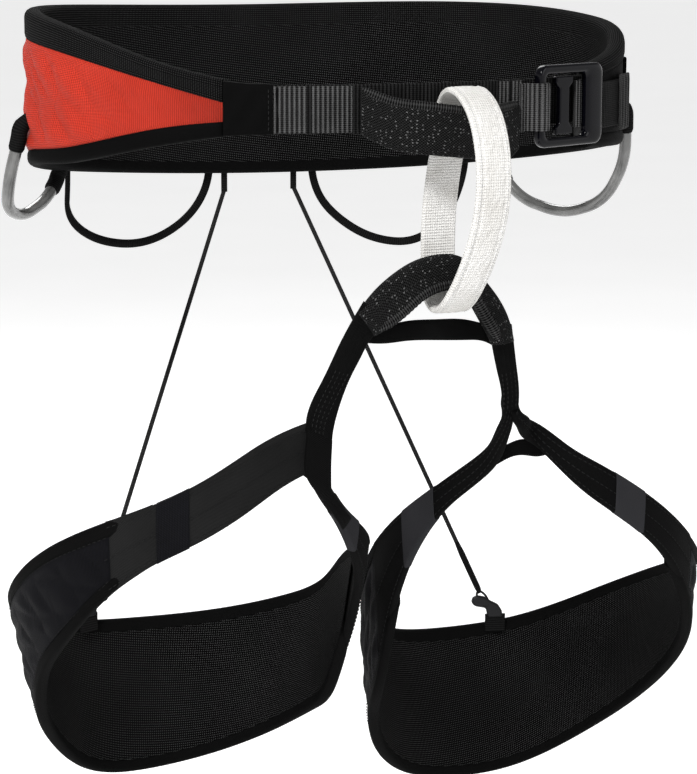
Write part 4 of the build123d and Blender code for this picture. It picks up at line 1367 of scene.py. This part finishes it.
# ---------------------------------------------------------------- gear loops
def gear_loops():
    m = MATERIALS
    for name in SIDES:
        for part, look in (("tube", "tube"), ("core", "cord")):
            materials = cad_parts[f"gear_{part}_front_{name}"].data.materials
            materials.clear()
            materials.append(m[look])
        for k, (end, inner) in enumerate(((0, 1), (-1, -2))):
            tip, below = np.array(GEAR_FRONT[name][end]), np.array(GEAR_FRONT[name][inner])
            ahead = (below - tip) / np.linalg.norm(below - tip)
            inward = -np.array([tip[0] / WAIST_HALF_WIDTH ** 2, tip[1] / WAIST_HALF_DEPTH ** 2, 0.0])
            inward = inward / np.linalg.norm(inward)
            low = tip + ahead * 9.0
            top = tip + np.array([0.0, 0.0, 8.0]) + inward * 4.5
            line = curve_points([low, tip + ahead * 3.0, tip + np.array([0.0, 0.0, 3.0]), top])
            rings, distance = tube_rings(line, ellipse_outline(3.9, 3.9, 20), (0.3, 0.2, 0.93))
            for i, t in enumerate(np.linspace(0, 1, len(line))):
                scale = np.interp(t, [0, 0.06, 0.75, 1], [0.88, 1, 1, 0.55])
                rings[i] = line[i] + (rings[i] - line[i]) * scale
            cap = loft(f"gear_end_cap_{name}_{k}", rings, distance, m["cord"])
            finish_piece(cap, "waist", "black_cord")
        route = GEAR_REAR[name]
        first, last = np.array(route[0]), np.array(route[-1])
        line = curve_points([first + SEWN_IN, *route, last + SEWN_IN])
        rings, distance = tube_rings(line, ellipse_outline(1.3, 2.2, 16))
        loop = loft(f"rear_loop_{name}", rings, distance, m["cord"])
        finish_piece(loop, f"gear_rear_{name}", "black_cord", f"gear_loop_rear_{name}")


# ---------------------------------------------------------------- studio
SENSOR = 36.0
LENS = 120.93
SHIFT_X = 0.02261              # frames the object; as a part of the picture's longer side
SHIFT_Y = 0.00775
AZIMUTH = -24.0
ELEVATION = 10.5
DISTANCE = 1.3
TARGET = Vector((0.0, 0.0, -0.150))


def camera():
    data = bpy.data.cameras.new("camera")
    data.sensor_width = SENSOR
    data.lens = LENS
    data.shift_x = SHIFT_X
    data.shift_y = SHIFT_Y
    data.clip_end = 50.0
    holder = bpy.data.objects.new("camera", data)
    bpy.context.scene.collection.objects.link(holder)
    azimuth, elevation = radians(AZIMUTH), radians(ELEVATION)
    away = Vector((sin(azimuth) * cos(elevation), -cos(azimuth) * cos(elevation), sin(elevation)))
    holder.location = TARGET + away * DISTANCE
    holder.rotation_euler = (-away).to_track_quat("-Z", "Y").to_euler()
    bpy.context.scene.camera = holder


# name, place, diameter and power
LIGHTS = (
    ("key", (-1.0, -1.0, 1.2), 0.5, 36.0),
    ("fill", (1.2, -1.2, 0.5), 0.9, 4.0),
    ("rim", (0.3, 1.3, 1.0), 0.9, 9.0),
)
FLOOR_DROP = 60.0              # below the lowest point of the object
FLOOR_HALF = 40000.0


def area_light(name, place, size, power):
    data = bpy.data.lights.new(name, "AREA")
    data.shape = "DISK"
    data.size = size
    data.energy = power
    holder = bpy.data.objects.new(name, data)
    bpy.context.scene.collection.objects.link(holder)
    holder.location = place
    holder.rotation_euler = (TARGET - Vector(place)).to_track_quat("-Z", "Y").to_euler()


def studio():
    bpy.context.scene.view_settings.view_transform = "Standard"
    world = bpy.data.worlds.new("studio")
    bpy.context.scene.world = world
    world.use_nodes = True
    tree = world.node_tree
    coordinates = tree.nodes.new("ShaderNodeTexCoord")
    height = tree.nodes.new("ShaderNodeSeparateXYZ")
    dome = tree.nodes.new("ShaderNodeValToRGB")
    tree.links.new(coordinates.outputs["Generated"], height.inputs[0])
    tree.links.new(height.outputs[2], dome.inputs[0])
    tree.links.new(dome.outputs[0], tree.nodes["Background"].inputs[0])
    dome.color_ramp.elements[0].color = (1.0, 1.0, 1.0, 1)
    dome.color_ramp.elements[0].position = 0.08
    dome.color_ramp.elements[1].color = (0.26, 0.26, 0.26, 1)
    dome.color_ramp.elements[1].position = 0.35
    tree.nodes["Background"].inputs[1].default_value = 1.0
    for light in LIGHTS:
        area_light(*light)
    n = Nodes("floor_paint", (0.80, 0.80, 0.80), 0.9, specular=0.0)
    n.colour(n.ramp(n.noise(6.0), (0.78, 0.78, 0.78), (0.82, 0.82, 0.82), 0.3, 0.7))
    n.shader.inputs["Emission Color"].default_value = (1.0, 1.0, 1.0, 1)
    n.shader.inputs["Emission Strength"].default_value = 0.6
    level = cad_box[0][2] / MM - FLOOR_DROP
    corners = [(x * FLOOR_HALF, y * FLOOR_HALF) for x, y in ((-1, -1), (1, -1), (1, 1), (-1, 1))]
    floor = new_mesh("floor", [(x, y, level) for x, y in corners], [(0, 1, 2, 3)],
                     [(x + FLOOR_HALF, y + FLOOR_HALF) for x, y in corners], n.material)


def build():
    camera()
    studio()
    waist_pad()
    waist_front()
    buckle()
    belay_loop()
    bridge()
    for name in SIDES:
        leg_loop(name)
        hook_and_elastic(name)
    gear_loops()


build()
